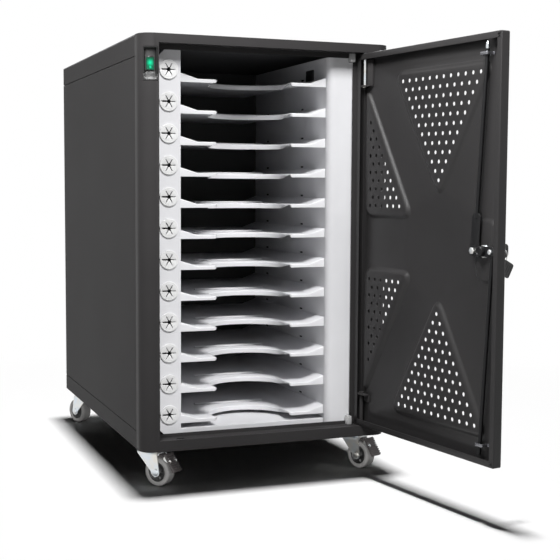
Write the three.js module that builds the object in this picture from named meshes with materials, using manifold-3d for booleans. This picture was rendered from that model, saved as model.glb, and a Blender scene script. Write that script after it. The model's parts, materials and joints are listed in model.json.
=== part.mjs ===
// Laptop charging cart: a steel cabinet on four swivel casters with twelve laptop bays.
// Millimetres, X to the right, Y to the back, Z up. The origin is on the floor below the
// middle of the cabinet, and the door stands open.
import * as THREE from "three";
import { mergeVertices } from "three/addons/utils/BufferGeometryUtils.js";
import Module from "manifold-3d";

// Cabinet
const BODY_WIDTH = 450;
const BODY_DEPTH = 660;
const BODY_HEIGHT = 690;
const SHEET = 1.5; // folded steel
const SEAM = 0.8; // gap between neighbouring panels
const FIT = 0.5; // gap between pieces that seat on each other
const CORNER_RADIUS = 25; // front vertical corners
const FRAME_DEPTH = 38;
const COLUMN_WIDTH = 31;
const TOP_RAIL = 15;
const BOTTOM_RAIL = 18.5;
const TOP_SKIRT = 35;
const BASE_SKIRT = 30;
const PANEL_FOLD = 12; // turned-in edge of the side and rear panels
const STOP_SETBACK = 10; // from the closed door to the stop flange
const STOP_LEFT = 6;
const STOP_RIGHT = 30;
const STOP_TOP = 8;
const STOP_BOTTOM = 6;
const BUMPER_WIDTH = 8;
const BUMPER_HEIGHT = 15;
const BUMPER_SETBACK = 1; // from the closed door to a bumper

// Rear panel
const VENT_COLUMNS = 6;
const VENT_ROWS = 5;
const VENT_WIDTH = 40;
const VENT_HEIGHT = 4;
const VENT_PITCH_X = 55;
const VENT_PITCH_Z = 14;
const VENT_EDGE = 70; // from the panel's upper and lower edges to the nearest vent
const INLET_WIDTH = 48;
const INLET_HEIGHT = 27;
const INLET_FLANGE = 4;
const INLET_DEPTH = 24;
const INLET_FROM_SIDE = 75;
const INLET_ABOVE_BASE = 60;
const INLET_WALL = 4;
const INLET_PIN = 1.5;
const INLET_PIN_PITCH = 7;

// Door
const DOOR_OPEN = 98.3; // degrees
const DOOR_GAP = 2; // beside the door
const DOOR_GAP_ENDS = 1.5; // above and below the door
const DOOR_THICKNESS = 16;
const DOOR_SHEET = 1.2;
const DOOR_LIP = 10;
const DOOR_EASE = 1; // bevel on the outer edge that swings past the frame
const HINGE_INSET = 13; // from the door's hinge edge to the pivot
const HINGE_SETBACK = 8; // from the door's outer skin to the pivot
const HINGE_PIN_RADIUS = 3.5;
const HINGE_PIN_LENGTH = 66;
const HINGE_PIN_ENTRY = 6; // how far a pin reaches into the frame
const HINGE_HEAD_RADIUS = 5;
const HINGE_HEAD = 2;
const HINGE_EAR = 2;
const HINGE_EAR_REACH = 7;
const HINGE_CLEARANCE = 0.4;
const EMBOSS = 2.5;
const VENT_HOLE_RADIUS = 4;
const PEAK_ROWS = 12; // rows of holes in the upper and lower triangles
const PEAK_PITCHES = 21; // hole pitches in the door's width
const PEAK_ROW_PITCHES = 43.9; // row pitches in the door's height
const PEAK_FROM_FREE_EDGE = 157.5;
const PEAK_TO_MIDDLE = 107.5; // from the door's middle height to the nearest hole
const PEAK_MARGIN = 22; // flat border round the holes
const SIDE_ROWS = 11; // rows of holes in the triangles beside the hinge
const SIDE_PITCHES = 22; // hole pitches in the door's width
const SIDE_ROW_PITCHES = 45.7; // row pitches in the door's height
const SIDE_FROM_HINGE_EDGE = 34;
const SIDE_TO_MIDDLE = 64;
const SIDE_MARGIN = 14;
const PAD_ROUND = 14;

// Lock
const LOCK_FROM_FREE_EDGE = 39;
const DISH_WIDTH = 50;
const DISH_HEIGHT = 94;
const DISH_DEPTH = 4;
const DISH_ROUND = 14;
const BARREL_RADIUS = 9.5;
const BARREL_BORE = 6.5;
const ROSETTE_RADIUS = 15;
const ROSETTE_THICKNESS = 4;
const CAM_ARM = 21;
const CAM_HALF_WIDTH = 8;
const CAM_THICKNESS = 2.5;
const CAM_BOLT_RADIUS = 2.6;
const CAM_BOLT_HEAD_RADIUS = 4.5;
const CAM_BOLT_HEAD = 3;
const ROD_RADIUS = 2.5;
const ROD_DEPTH = 10; // from the outer skin to the rods' middle
const ROD_EYE_RADIUS = 6.5;
const ROD_EYE = 3;
const ROD_TONGUE = 58; // length of the upper rod's flat end
const ROD_TONGUE_HALF_WIDTH = 8;
const ROD_END_SETBACK = 12; // from the door's end to a rod's tip at rest
const GUIDE_FROM_END = 30;
const GUIDE_OPENING = 12;
const GUIDE_SHIFT = 2.4; // the rods swing to one side as the cam turns
const GUIDE_LENGTH = 8;
const GUIDE_SHEET = 1.6;
const ROD_CLEARANCE = 1;
const KEY_REACH = 37;
const KEY_HEIGHT = 22;
const KEY_THICKNESS = 3.4;
const KEY_NECK = 8;
const KEY_BLADE_HEIGHT = 7;
const KEY_BLADE_THICKNESS = 2.2;
const KEY_HOLE_RADIUS = 3;
const KEYWAY_DEPTH = 6;
const KEYWAY_CLEARANCE = 0.3;

// Laptop bays
const BAY_COUNT = 12;
const BAY_MARGIN = 58.8; // of the body's height, above and below the bays
const BAY_FROM_LEFT = 45; // from the doorway's side to the bays
const BAY_FROM_RIGHT = 75.5;
const BAY_BACK = 70;
const STRIP_SETBACK = 30; // from the cabinet's front to the white strips
const STRIP_LEFT_WIDTH = 37;
const STRIP_CHAMFER = 10;
const STRIP_RIGHT_WIDTH = 72;
const STRIP_BEND = 12;
const WALL_FROM_TOP = 22;
const WALL_FROM_BASE = 20;
const SHELF_SETBACK = 40; // from the cabinet's front to the shelves
const LOWEST_SHELF = 44; // above the base
const SHELF_LIP = 6;
const SHELF_LEFT_SLOPE = 33;
const SHELF_RIGHT_SLOPE = 28;
const SHELF_RISE = 10;
const CUT_FROM_LEFT = 67;
const CUT_FROM_RIGHT = 65.5;
const CUT_SIDE = 47;
const CUT_LIP = 11;
const FLOOR_HEIGHT = 29;
const SLOT_LENGTH = 14;
const SLOT_HEIGHT = 3;
const SLOT_PLACES = [-180, 0]; // wall slots for the shelf hooks

// Cable grommets
const GROMMET_RADIUS = 16;
const GROMMET_NECK_RADIUS = 13;
const GROMMET_FLANGE = 2;
const GROMMET_NECK = 5;
const GROMMET_ABOVE_SHELF = 12.5;
const GROMMET_SLITS = 6;
const GROMMET_SLIT = 0.9;
const GROMMET_MOUTH = 2.4;
const GROMMET_CORE = 2.2;

// Power switch and power strip
const SCOOP_WIDTH = 22;
const SCOOP_HEIGHT = 54;
const SCOOP_DEPTH = 11;
const SCOOP_FROM_TOP = 22;
const SCOOP_FROM_OPENING = 2;
const SCOOP_WALL = 1.6;
const ROCKER_WIDTH = 10;
const ROCKER_HEIGHT = 16;
const ROCKER_THICKNESS = 6;
const ROCKER_CLEARANCE = 0.6;
const STRIP_BOX_WIDTH = 46;
const STRIP_BOX_DEPTH = 38;
const STRIP_BOX_SHORT = 61.2; // less than the stack of bays
const STRIP_BOX_X = -40;
const OUTLET_RADIUS = 16;
const OUTLET_DEPTH = 12;

// Casters
const CASTER_HEIGHT = 70;
const CASTER_FROM_SIDE = 33;
const CASTER_FROM_FRONT = 70;
const CASTER_FROM_BACK = 45;
const WHEEL_RADIUS = 25;
const WHEEL_WIDTH = 22;
const TRAIL = 20;
const PLATE_SIZE = 58;
const PLATE_THICKNESS = 3;
const FORK_HEAD_RADIUS = 21;
const FORK_HEAD = 8;
const FORK_PLATE = 2;
const FORK_CLEARANCE = 1;
const AXLE_RADIUS = 4;
const AXLE_CLEARANCE = 0.4;
const AXLE_HEAD_RADIUS = 6.5;
const AXLE_HEAD = 2;
const PEDAL_LENGTH = 42;
const PEDAL_THICKNESS = 4;
const PEDAL_FROM_TYRE = 0.8;
const PEDAL_SLOPE = 27; // degrees below level, brake on
const PEDAL_RIBS = 5;
const PEDAL_RIB = 1.6;

// Places worked out from the sizes above
const FRONT = -BODY_DEPTH / 2;
const BACK = BODY_DEPTH / 2;
const SIDE = BODY_WIDTH / 2;
const INLET_X = INLET_FROM_SIDE - SIDE;
const BASE = CASTER_HEIGHT;
const TOP = BASE + BODY_HEIGHT;
const FRAME_BACK = FRONT + FRAME_DEPTH;
const OPEN_SIDE = SIDE - COLUMN_WIDTH;
const OPEN_LOW = BASE + BOTTOM_RAIL;
const OPEN_HIGH = TOP - TOP_RAIL;
const STOP_FRONT = FRONT + DOOR_THICKNESS + STOP_SETBACK;
const DOOR_LOW = OPEN_LOW + DOOR_GAP_ENDS;
const DOOR_HIGH = OPEN_HIGH - DOOR_GAP_ENDS;
const DOOR_MIDDLE = (DOOR_LOW + DOOR_HIGH) / 2;
const DOOR_WIDTH = 2 * (OPEN_SIDE - DOOR_GAP);
const DOOR_HEIGHT = DOOR_HIGH - DOOR_LOW;
const PEAK_PITCH = DOOR_WIDTH / PEAK_PITCHES;
const PEAK_ROW = DOOR_HEIGHT / PEAK_ROW_PITCHES;
const SIDE_PITCH = DOOR_WIDTH / SIDE_PITCHES;
const SIDE_ROW = DOOR_HEIGHT / SIDE_ROW_PITCHES;
const PIVOT_X = OPEN_SIDE - DOOR_GAP - HINGE_INSET;
const PIVOT_Y = FRONT + HINGE_SETBACK;
const HINGE_EDGE = HINGE_INSET;
const FREE_EDGE = HINGE_EDGE - DOOR_WIDTH;
const LOCK_X = FREE_EDGE + LOCK_FROM_FREE_EDGE;
const ROD_LEAN = Math.atan2(CAM_ARM, DOOR_HIGH - GUIDE_FROM_END - DOOR_MIDDLE);
const BAY_PITCH = (BODY_HEIGHT - BAY_MARGIN) / BAY_COUNT;
const BAY_LEFT = BAY_FROM_LEFT - OPEN_SIDE;
const BAY_RIGHT = OPEN_SIDE - BAY_FROM_RIGHT;
const CUT_WIDTH = BAY_RIGHT - BAY_LEFT - CUT_FROM_LEFT - CUT_FROM_RIGHT;
const CUT_RISE = CUT_WIDTH / 3;
const STRIP_BOX_HEIGHT = BAY_COUNT * BAY_PITCH - STRIP_BOX_SHORT;
const STRIP_FRONT = FRONT + STRIP_SETBACK;
const WALL_LOW = BASE + WALL_FROM_BASE;
const WALL_HIGH = TOP - WALL_FROM_TOP;
const SHELF_FRONT = FRONT + SHELF_SETBACK;
const GROMMET_X = BAY_LEFT - STRIP_LEFT_WIDTH + GROMMET_RADIUS;
const SCOOP_X = -OPEN_SIDE - SCOOP_FROM_OPENING - SCOOP_WIDTH / 2;
const SCOOP_Z = TOP - SCOOP_FROM_TOP - SCOOP_HEIGHT / 2;
const ROUND = 12; // sides of a round piece
const WHEEL_SIDES = 24;
const HOLE_SIDES = 5; // sides of a vent hole

const wasm = await Module();
wasm.setup();

// Solids: each function below returns a closed solid, ready to be joined or cut.
function solid(geometry) {
  const bare = geometry.index ? geometry.toNonIndexed() : geometry.clone();
  bare.deleteAttribute("normal");
  bare.deleteAttribute("uv");
  const merged = mergeVertices(bare, 1e-4);
  return new wasm.Manifold(
    new wasm.Mesh({
      numProp: 3,
      vertProperties: new Float32Array(merged.attributes.position.array),
      triVerts: new Uint32Array(merged.index.array),
    }),
  );
}

function geometryOf(made) {
  const mesh = made.getMesh();
  const geometry = new THREE.BufferGeometry();
  geometry.setAttribute("position", new THREE.BufferAttribute(mesh.vertProperties, 3));
  geometry.setIndex(new THREE.BufferAttribute(mesh.triVerts, 1));
  geometry.computeVertexNormals();
  return geometry;
}

function join(first, ...others) {
  return others.reduce((sum, other) => sum.add(other), first);
}

function cut(first, ...others) {
  return others.reduce((rest, other) => rest.subtract(other), first);
}

// A box given by its lowest and highest corners.
function box(low, high) {
  const size = high.map((value, i) => value - low[i]);
  const geometry = new THREE.BoxGeometry(...size);
  geometry.translate(...low.map((value, i) => value + size[i] / 2));
  return solid(geometry);
}

// A cylinder along x, y or z between two values on that axis, through the point (a, b) of the others.
function cylinder(axis, radius, from, to, a, b, sides = ROUND) {
  const geometry = new THREE.CylinderGeometry(radius, radius, to - from, sides);
  const middle = (from + to) / 2;
  if (axis === "x") geometry.rotateZ(Math.PI / 2).translate(middle, a, b);
  if (axis === "y") geometry.translate(a, middle, b);
  if (axis === "z") geometry.rotateX(Math.PI / 2).translate(a, b, middle);
  return solid(geometry);
}

// An outline in plan (x, y), carried up from one height to another.
function prismUp(outline, low, high) {
  const geometry = new THREE.ExtrudeGeometry(outline, {
    depth: high - low,
    bevelEnabled: false,
    curveSegments: 6,
  });
  return solid(geometry.translate(0, 0, low));
}

// An outline seen from the front (x, z), carried back from one y to another.
function prismBack(outline, front, back) {
  const geometry = new THREE.ExtrudeGeometry(outline, {
    depth: back - front,
    bevelEnabled: false,
    curveSegments: 6,
  });
  return solid(geometry.rotateX(Math.PI / 2).translate(0, back, 0));
}

function polygon(points) {
  return new THREE.Shape(points.map(([a, b]) => new THREE.Vector2(a, b)));
}

// A polygon with rounded corners: each corner is a curve between points at the given distance from it.
function roundedPolygon(points, radius) {
  const shape = new THREE.Shape();
  points.forEach((corner, i) => {
    const here = new THREE.Vector2(...corner);
    const before = new THREE.Vector2(...points[(i + points.length - 1) % points.length]);
    const after = new THREE.Vector2(...points[(i + 1) % points.length]);
    const start = before.sub(here).setLength(radius).add(here);
    const end = after.sub(here).setLength(radius).add(here);
    if (i === 0) shape.moveTo(start.x, start.y);
    else shape.lineTo(start.x, start.y);
    shape.quadraticCurveTo(here.x, here.y, end.x, end.y);
  });
  shape.closePath();
  return shape;
}

function rectangle(x0, x1, z0, z1) {
  return [
    [x0, z0],
    [x1, z0],
    [x1, z1],
    [x0, z1],
  ];
}

// Materials
const finish = (color, roughness, metalness) => () =>
  new THREE.MeshStandardMaterial({ color, roughness, metalness });
const charcoal = finish(0x3b3939, 0.55, 0.3);
const white = finish(0xe8e8ea, 0.45, 0.1);
const black = finish(0x161616, 0.6, 0.1);
const zinc = finish(0xc9cbcc, 0.3, 0.9);
const darkSteel = finish(0x1f1f20, 0.45, 0.7);
const whitePlastic = finish(0xf0f0f0, 0.5, 0);
const greenPlastic = finish(0x1c9a5a, 0.25, 0);
const tyreGrey = finish(0x7a7878, 0.7, 0);
const pedalGrey = finish(0x4a4444, 0.6, 0);

function piece(parent, name, made, material) {
  const mesh = new THREE.Mesh(geometryOf(made), material());
  mesh.name = name;
  parent.add(mesh);
  return mesh;
}

const cart = new THREE.Group();

// Cabinet
function framePlan(inset, back) {
  const side = SIDE - inset;
  const front = FRONT + inset;
  const radius = CORNER_RADIUS - inset;
  const shape = new THREE.Shape();
  shape.moveTo(-side, back);
  shape.lineTo(-side, front + radius);
  shape.absarc(-side + radius, front + radius, radius, Math.PI, 1.5 * Math.PI, false);
  shape.lineTo(side - radius, front);
  shape.absarc(side - radius, front + radius, radius, 1.5 * Math.PI, 2 * Math.PI, false);
  shape.lineTo(side, back);
  shape.closePath();
  return shape;
}

// Slots in the rails for the rod tips, at the closed door's place.
function rodSlot(direction, low, high) {
  const x = PIVOT_X + LOCK_X + direction * GUIDE_SHIFT;
  const y = FRONT + ROD_DEPTH;
  const half = GUIDE_OPENING / 2 + ROD_CLEARANCE;
  const depth = ROD_RADIUS + ROD_CLEARANCE;
  return box([x - half, y - depth, low], [x + half, y + depth, high]);
}

function scoopWindow(extra, front, back) {
  const halfWidth = SCOOP_WIDTH / 2 + extra;
  const halfHeight = SCOOP_HEIGHT / 2 + extra;
  return box(
    [SCOOP_X - halfWidth, front, SCOOP_Z - halfHeight],
    [SCOOP_X + halfWidth, back, SCOOP_Z + halfHeight],
  );
}

function makeFrontFrame() {
  const beyond = FRAME_BACK + SHEET;
  const jamb = box(
    [-OPEN_SIDE - SHEET, FRONT, OPEN_LOW - SHEET],
    [OPEN_SIDE + SHEET, beyond, OPEN_HIGH + SHEET],
  );
  const hollow = cut(prismUp(framePlan(SHEET, beyond), BASE + SHEET, TOP - SHEET), jamb);
  const doorway = box([-OPEN_SIDE, FRONT - SHEET, OPEN_LOW], [OPEN_SIDE, STOP_FRONT, OPEN_HIGH]);
  const behindStop = box(
    [-OPEN_SIDE, STOP_FRONT + SHEET, OPEN_LOW],
    [OPEN_SIDE, beyond, OPEN_HIGH],
  );
  const through = box(
    [-OPEN_SIDE + STOP_LEFT, STOP_FRONT - SHEET, OPEN_LOW + STOP_BOTTOM],
    [OPEN_SIDE - STOP_RIGHT, beyond, OPEN_HIGH - STOP_TOP],
  );
  const pinHole = HINGE_PIN_RADIUS + HINGE_CLEARANCE;
  const bumper = (low) =>
    box(
      [OPEN_SIDE - STOP_RIGHT - BUMPER_WIDTH, FRONT + DOOR_THICKNESS + BUMPER_SETBACK, low],
      [OPEN_SIDE - STOP_RIGHT + SHEET, STOP_FRONT + SHEET, low + BUMPER_HEIGHT],
    );
  const shell = cut(
    prismUp(framePlan(0, FRAME_BACK), BASE, TOP),
    hollow,
    doorway,
    behindStop,
    through,
    scoopWindow(FIT, FRONT - SHEET, FRONT + CORNER_RADIUS),
    cylinder("z", pinHole, OPEN_HIGH - SHEET, OPEN_HIGH + 2 * SHEET, PIVOT_X, PIVOT_Y),
    cylinder("z", pinHole, OPEN_LOW - 2 * SHEET, OPEN_LOW + SHEET, PIVOT_X, PIVOT_Y),
    rodSlot(1, OPEN_HIGH - SHEET, OPEN_HIGH + 2 * SHEET),
    rodSlot(-1, OPEN_LOW - 2 * SHEET, OPEN_LOW + SHEET),
  );
  return join(shell, bumper(OPEN_HIGH - BUMPER_HEIGHT), bumper(OPEN_LOW));
}

// A folded tray: a box with walls of sheet, open on each side that open points at.
function tray(low, high, open) {
  const inner = [low, high].map((corner, end) =>
    corner.map((value, i) => {
      const outward = end === 0 ? -1 : 1;
      return open[i] === outward ? value + outward * SHEET : value - outward * SHEET;
    }),
  );
  return cut(box(low, high), box(...inner));
}

const PANEL_FRONT = FRAME_BACK + SEAM;
const PANEL_LOW = BASE + BASE_SKIRT + SEAM;
const PANEL_HIGH = TOP - TOP_SKIRT - SEAM;
const REAR_SIDE = SIDE - PANEL_FOLD - SEAM;

function makeSidePanel(sign) {
  const edges = [sign * SIDE, sign * (SIDE - PANEL_FOLD)].sort((a, b) => a - b);
  return tray([edges[0], PANEL_FRONT, PANEL_LOW], [edges[1], BACK, PANEL_HIGH], [-sign, 0, 0]);
}

function makeTopCover() {
  return tray([-SIDE, PANEL_FRONT, TOP - TOP_SKIRT], [SIDE, BACK, TOP], [0, -1, -1]);
}

function makeBasePan() {
  return tray([-SIDE, PANEL_FRONT, BASE], [SIDE, BACK, BASE + BASE_SKIRT], [0, -1, 1]);
}

function inletWindow(extra, front, back) {
  const z = BASE + INLET_ABOVE_BASE;
  const halfWidth = INLET_WIDTH / 2 + extra;
  const halfHeight = INLET_HEIGHT / 2 + extra;
  return box([INLET_X - halfWidth, front, z - halfHeight], [INLET_X + halfWidth, back, z + halfHeight]);
}

function makeRearPanel() {
  const panel = tray(
    [-REAR_SIDE, BACK - PANEL_FOLD, PANEL_LOW],
    [REAR_SIDE, BACK, PANEL_HIGH],
    [0, -1, 0],
  );
  const vents = [];
  for (let column = 0; column < VENT_COLUMNS; column++) {
    const x = (column - (VENT_COLUMNS - 1) / 2) * VENT_PITCH_X;
    for (let row = 0; row < VENT_ROWS; row++) {
      const z = PANEL_HIGH - VENT_EDGE - row * VENT_PITCH_Z;
      vents.push(
        box(
          [x - VENT_WIDTH / 2, BACK - 2 * SHEET, z - VENT_HEIGHT],
          [x + VENT_WIDTH / 2, BACK + SHEET, z],
        ),
      );
    }
  }
  return cut(panel, ...vents, inletWindow(FIT, BACK - 2 * SHEET, BACK + SHEET));
}

function makeInlet() {
  const flange = inletWindow(INLET_FLANGE, BACK + FIT, BACK + FIT + SHEET);
  const body = inletWindow(0, BACK - INLET_DEPTH, BACK + FIT + SHEET);
  const mouth = inletWindow(-INLET_WALL, BACK - INLET_DEPTH + INLET_WALL, BACK + 2 * SHEET + FIT);
  const z = BASE + INLET_ABOVE_BASE;
  const pins = [-1, 0, 1].map((place) => {
    const x = INLET_X + place * INLET_PIN_PITCH;
    return box(
      [x - INLET_PIN / 2, BACK - INLET_DEPTH, z - 2 * INLET_PIN],
      [x + INLET_PIN / 2, BACK - INLET_WALL, z + 2 * INLET_PIN],
    );
  });
  return join(cut(join(flange, body), mouth), ...pins);
}

function makeRearDivider() {
  return box(
    [BAY_LEFT - SHEET, BAY_BACK + FIT, WALL_LOW],
    [BAY_RIGHT + SHEET, BAY_BACK + FIT + SHEET, WALL_HIGH],
  );
}

function makePowerStrip() {
  const front = BAY_BACK + 2 * FIT + SHEET;
  const back = front + STRIP_BOX_DEPTH;
  const middle = (WALL_LOW + WALL_HIGH) / 2;
  const low = middle - STRIP_BOX_HEIGHT / 2;
  const body = box(
    [STRIP_BOX_X - STRIP_BOX_WIDTH / 2, front, low],
    [STRIP_BOX_X + STRIP_BOX_WIDTH / 2, back, low + STRIP_BOX_HEIGHT],
  );
  const outlets = [];
  for (let bay = 0; bay < BAY_COUNT; bay++) {
    const z = low + ((bay + 0.5) * STRIP_BOX_HEIGHT) / BAY_COUNT;
    outlets.push(cylinder("y", OUTLET_RADIUS, back - OUTLET_DEPTH, back + SHEET, STRIP_BOX_X, z, 8));
  }
  return cut(body, ...outlets);
}

// Laptop bays
function shelfHeight(bay) {
  return BASE + LOWEST_SHELF + bay * BAY_PITCH;
}

function grommetHeight(bay) {
  return shelfHeight(bay) + GROMMET_ABOVE_SHELF;
}

function makeLeftWall() {
  const left = BAY_LEFT - STRIP_LEFT_WIDTH;
  const strip = prismBack(
    polygon([
      [BAY_LEFT, WALL_LOW],
      [BAY_LEFT, WALL_HIGH],
      [left + STRIP_CHAMFER, WALL_HIGH],
      [left, WALL_HIGH - STRIP_CHAMFER],
      [left, WALL_LOW + STRIP_CHAMFER],
      [left + STRIP_CHAMFER, WALL_LOW],
    ]),
    STRIP_FRONT,
    STRIP_FRONT + SHEET,
  );
  const wall = box([BAY_LEFT - SHEET, STRIP_FRONT, WALL_LOW], [BAY_LEFT, BAY_BACK, WALL_HIGH]);
  const holes = [];
  for (let bay = 0; bay < BAY_COUNT; bay++) {
    const z = grommetHeight(bay);
    const radius = GROMMET_NECK_RADIUS + FIT;
    holes.push(
      cylinder("y", radius, STRIP_FRONT - SHEET, STRIP_FRONT + 2 * SHEET, GROMMET_X, z),
      box(
        [left - SHEET, STRIP_FRONT - SHEET, z - GROMMET_MOUTH / 2],
        [GROMMET_X, STRIP_FRONT + 2 * SHEET, z + GROMMET_MOUTH / 2],
      ),
    );
  }
  return cut(join(strip, wall), ...holes);
}

function makeRightWall() {
  const right = BAY_RIGHT + STRIP_RIGHT_WIDTH;
  const section = new THREE.Shape();
  const bend = STRIP_BEND;
  section.moveTo(BAY_RIGHT, BAY_BACK);
  section.lineTo(BAY_RIGHT, STRIP_FRONT + bend);
  section.absarc(BAY_RIGHT + bend, STRIP_FRONT + bend, bend, Math.PI, 1.5 * Math.PI, false);
  section.lineTo(right, STRIP_FRONT);
  section.lineTo(right, STRIP_FRONT + SHEET);
  section.lineTo(BAY_RIGHT + bend, STRIP_FRONT + SHEET);
  section.absarc(
    BAY_RIGHT + bend,
    STRIP_FRONT + bend,
    bend - SHEET,
    1.5 * Math.PI,
    Math.PI,
    true,
  );
  section.lineTo(BAY_RIGHT + SHEET, BAY_BACK);
  section.closePath();
  const slots = [];
  for (let bay = 0; bay < BAY_COUNT; bay++) {
    const z = grommetHeight(bay);
    for (const y of SLOT_PLACES) {
      slots.push(
        box(
          [BAY_RIGHT - SHEET, y - SLOT_LENGTH / 2, z],
          [BAY_RIGHT + 2 * SHEET, y + SLOT_LENGTH / 2, z + SLOT_HEIGHT],
        ),
      );
    }
  }
  return cut(prismUp(section, WALL_LOW, WALL_HIGH), ...slots);
}

function makeBayFloor() {
  return tray(
    [BAY_LEFT + FIT, SHELF_FRONT, BASE + SHEET + FIT],
    [BAY_RIGHT - FIT, BAY_BACK, BASE + FLOOR_HEIGHT],
    [0, 0, -1],
  );
}

// The finger cut-out in plan: straight sides, then an arc that is deepest in the middle.
function cutOutline(inset) {
  const left = BAY_LEFT + CUT_FROM_LEFT + inset;
  const right = BAY_LEFT + CUT_FROM_LEFT + CUT_WIDTH - inset;
  const middle = (left + right) / 2;
  const half = CUT_WIDTH / 2;
  const radius = (half * half + CUT_RISE * CUT_RISE) / (2 * CUT_RISE);
  const centreY = SHELF_FRONT + CUT_SIDE + CUT_RISE - radius;
  const reach = radius - inset;
  const angle = Math.asin((right - middle) / reach);
  const shape = new THREE.Shape();
  shape.moveTo(left, SHELF_FRONT - SHEET);
  shape.lineTo(right, SHELF_FRONT - SHEET);
  shape.absarc(middle, centreY, reach, Math.PI / 2 - angle, Math.PI / 2 + angle, false);
  shape.closePath();
  return shape;
}

function makeShelf(bay) {
  const z = shelfHeight(bay);
  const left = BAY_LEFT + FIT;
  const right = BAY_RIGHT - FIT;
  const surface = [
    [left, z + SHELF_RISE],
    [left + SHELF_LEFT_SLOPE, z],
    [right - SHELF_RIGHT_SLOPE, z],
    [right, z + SHELF_RISE],
  ];
  const underside = surface.map(([x, height]) => [x, height - SHEET]).reverse();
  const deck = prismBack(polygon([...surface, ...underside]), SHELF_FRONT, BAY_BACK);
  const lip = prismBack(
    polygon([...surface, [right, z - SHELF_LIP], [left, z - SHELF_LIP]]),
    SHELF_FRONT,
    SHELF_FRONT + SHEET,
  );
  const tall = [z - 2 * CUT_LIP, z + 2 * SHELF_RISE];
  const rim = cut(
    prismUp(cutOutline(-SHEET), z - CUT_LIP, z - SHEET / 2),
    box(
      [BAY_LEFT, SHELF_FRONT - 2 * SHEET, tall[0]],
      [BAY_RIGHT, SHELF_FRONT + SHEET / 2, tall[1]],
    ),
  );
  return cut(join(deck, lip, rim), prismUp(cutOutline(0), ...tall));
}

function makeGrommet(bay) {
  const z = grommetHeight(bay);
  const front = STRIP_FRONT - FIT - GROMMET_FLANGE;
  const back = STRIP_FRONT + SHEET + GROMMET_NECK;
  const body = join(
    cylinder("y", GROMMET_RADIUS, front, STRIP_FRONT - FIT, GROMMET_X, z),
    cylinder("y", GROMMET_NECK_RADIUS, front, back, GROMMET_X, z),
  );
  const reach = GROMMET_NECK_RADIUS - GROMMET_FLANGE;
  const slits = [];
  for (let i = 0; i < GROMMET_SLITS; i++) {
    const toEdge = i === GROMMET_SLITS / 2;
    const half = (toEdge ? GROMMET_MOUTH : GROMMET_SLIT) / 2;
    const end = toEdge ? GROMMET_RADIUS + SHEET : reach;
    const slit = new THREE.BoxGeometry(end, back - front + 2 * SHEET, 2 * half);
    slit.translate(end / 2, (front + back) / 2, 0);
    slit.rotateY((-2 * Math.PI * i) / GROMMET_SLITS).translate(GROMMET_X, 0, z);
    slits.push(solid(slit));
  }
  const core = cylinder("y", GROMMET_CORE, front - SHEET, back + SHEET, GROMMET_X, z, GROMMET_SLITS);
  return cut(body, core, ...slits);
}

// Power switch
function makeSwitchBezel() {
  const back = FRONT + SCOOP_DEPTH;
  const cup = cut(
    scoopWindow(0, FRONT + FIT, back),
    scoopWindow(-SCOOP_WALL, FRONT - SHEET, back - SCOOP_WALL),
  );
  const hole = box(
    [SCOOP_X - ROCKER_WIDTH / 2 - ROCKER_CLEARANCE, FRONT, SCOOP_Z - ROCKER_HEIGHT / 2 - ROCKER_CLEARANCE],
    [SCOOP_X + ROCKER_WIDTH / 2 + ROCKER_CLEARANCE, back + SHEET, SCOOP_Z + ROCKER_HEIGHT / 2 + ROCKER_CLEARANCE],
  );
  return cut(cup, hole).intersect(prismUp(framePlan(0, FRAME_BACK), BASE, TOP));
}

// The rocker, seen from the side, is a shallow V that tips about its middle.
function makeRocker() {
  const front = FRONT + SCOOP_DEPTH - SCOOP_WALL - ROCKER_THICKNESS / 2;
  const half = ROCKER_HEIGHT / 2;
  const dip = ROCKER_THICKNESS / 4;
  const outline = polygon([
    [front - dip, -half],
    [front, 0],
    [front - dip, half],
    [front + ROCKER_THICKNESS, half - dip],
    [front + ROCKER_THICKNESS, -half + dip],
  ]);
  const geometry = new THREE.ExtrudeGeometry(outline, { depth: ROCKER_WIDTH, bevelEnabled: false });
  // The outline's own axes are the cart's Y and Z, and it is carried along X.
  geometry.applyMatrix4(new THREE.Matrix4().set(0, 0, 1, 0, 1, 0, 0, 0, 0, 1, 0, 0, 0, 0, 0, 1));
  return solid(geometry.translate(SCOOP_X - ROCKER_WIDTH / 2, 0, SCOOP_Z));
}

// Door: modelled shut, with the pivot at the door group's own origin, then swung open.
const SKIN = -HINGE_SETBACK;

function doorBox(inset, front, back) {
  return box(
    [FREE_EDGE + inset, front, DOOR_LOW + inset],
    [HINGE_EDGE - inset, back, DOOR_HIGH - inset],
  );
}

// The corner that the bevel takes off beside the hinge.
function hingeEdgeBevel() {
  const near = HINGE_EDGE - 2 * DOOR_EASE;
  const outside = HINGE_EDGE + DOOR_EASE;
  const corner = polygon([
    [near, SKIN - DOOR_EASE],
    [outside, SKIN - DOOR_EASE],
    [outside, SKIN + 2 * DOOR_EASE],
  ]);
  return prismUp(corner, DOOR_LOW - DOOR_EASE, DOOR_HIGH + DOOR_EASE);
}

// Outlines of the embossed triangles, as corners in the door's own x and z.
function peakCorners(sign) {
  const x = FREE_EDGE + PEAK_FROM_FREE_EDGE;
  const tip = DOOR_MIDDLE + sign * (PEAK_TO_MIDDLE - PEAK_MARGIN);
  const far = DOOR_MIDDLE + sign * (PEAK_TO_MIDDLE + (PEAK_ROWS - 1) * PEAK_ROW + PEAK_MARGIN);
  const half = ((PEAK_ROWS - 1) / 2) * PEAK_PITCH + PEAK_MARGIN;
  return [
    [x - half, far],
    [x + half, far],
    [x, tip],
  ];
}

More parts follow.
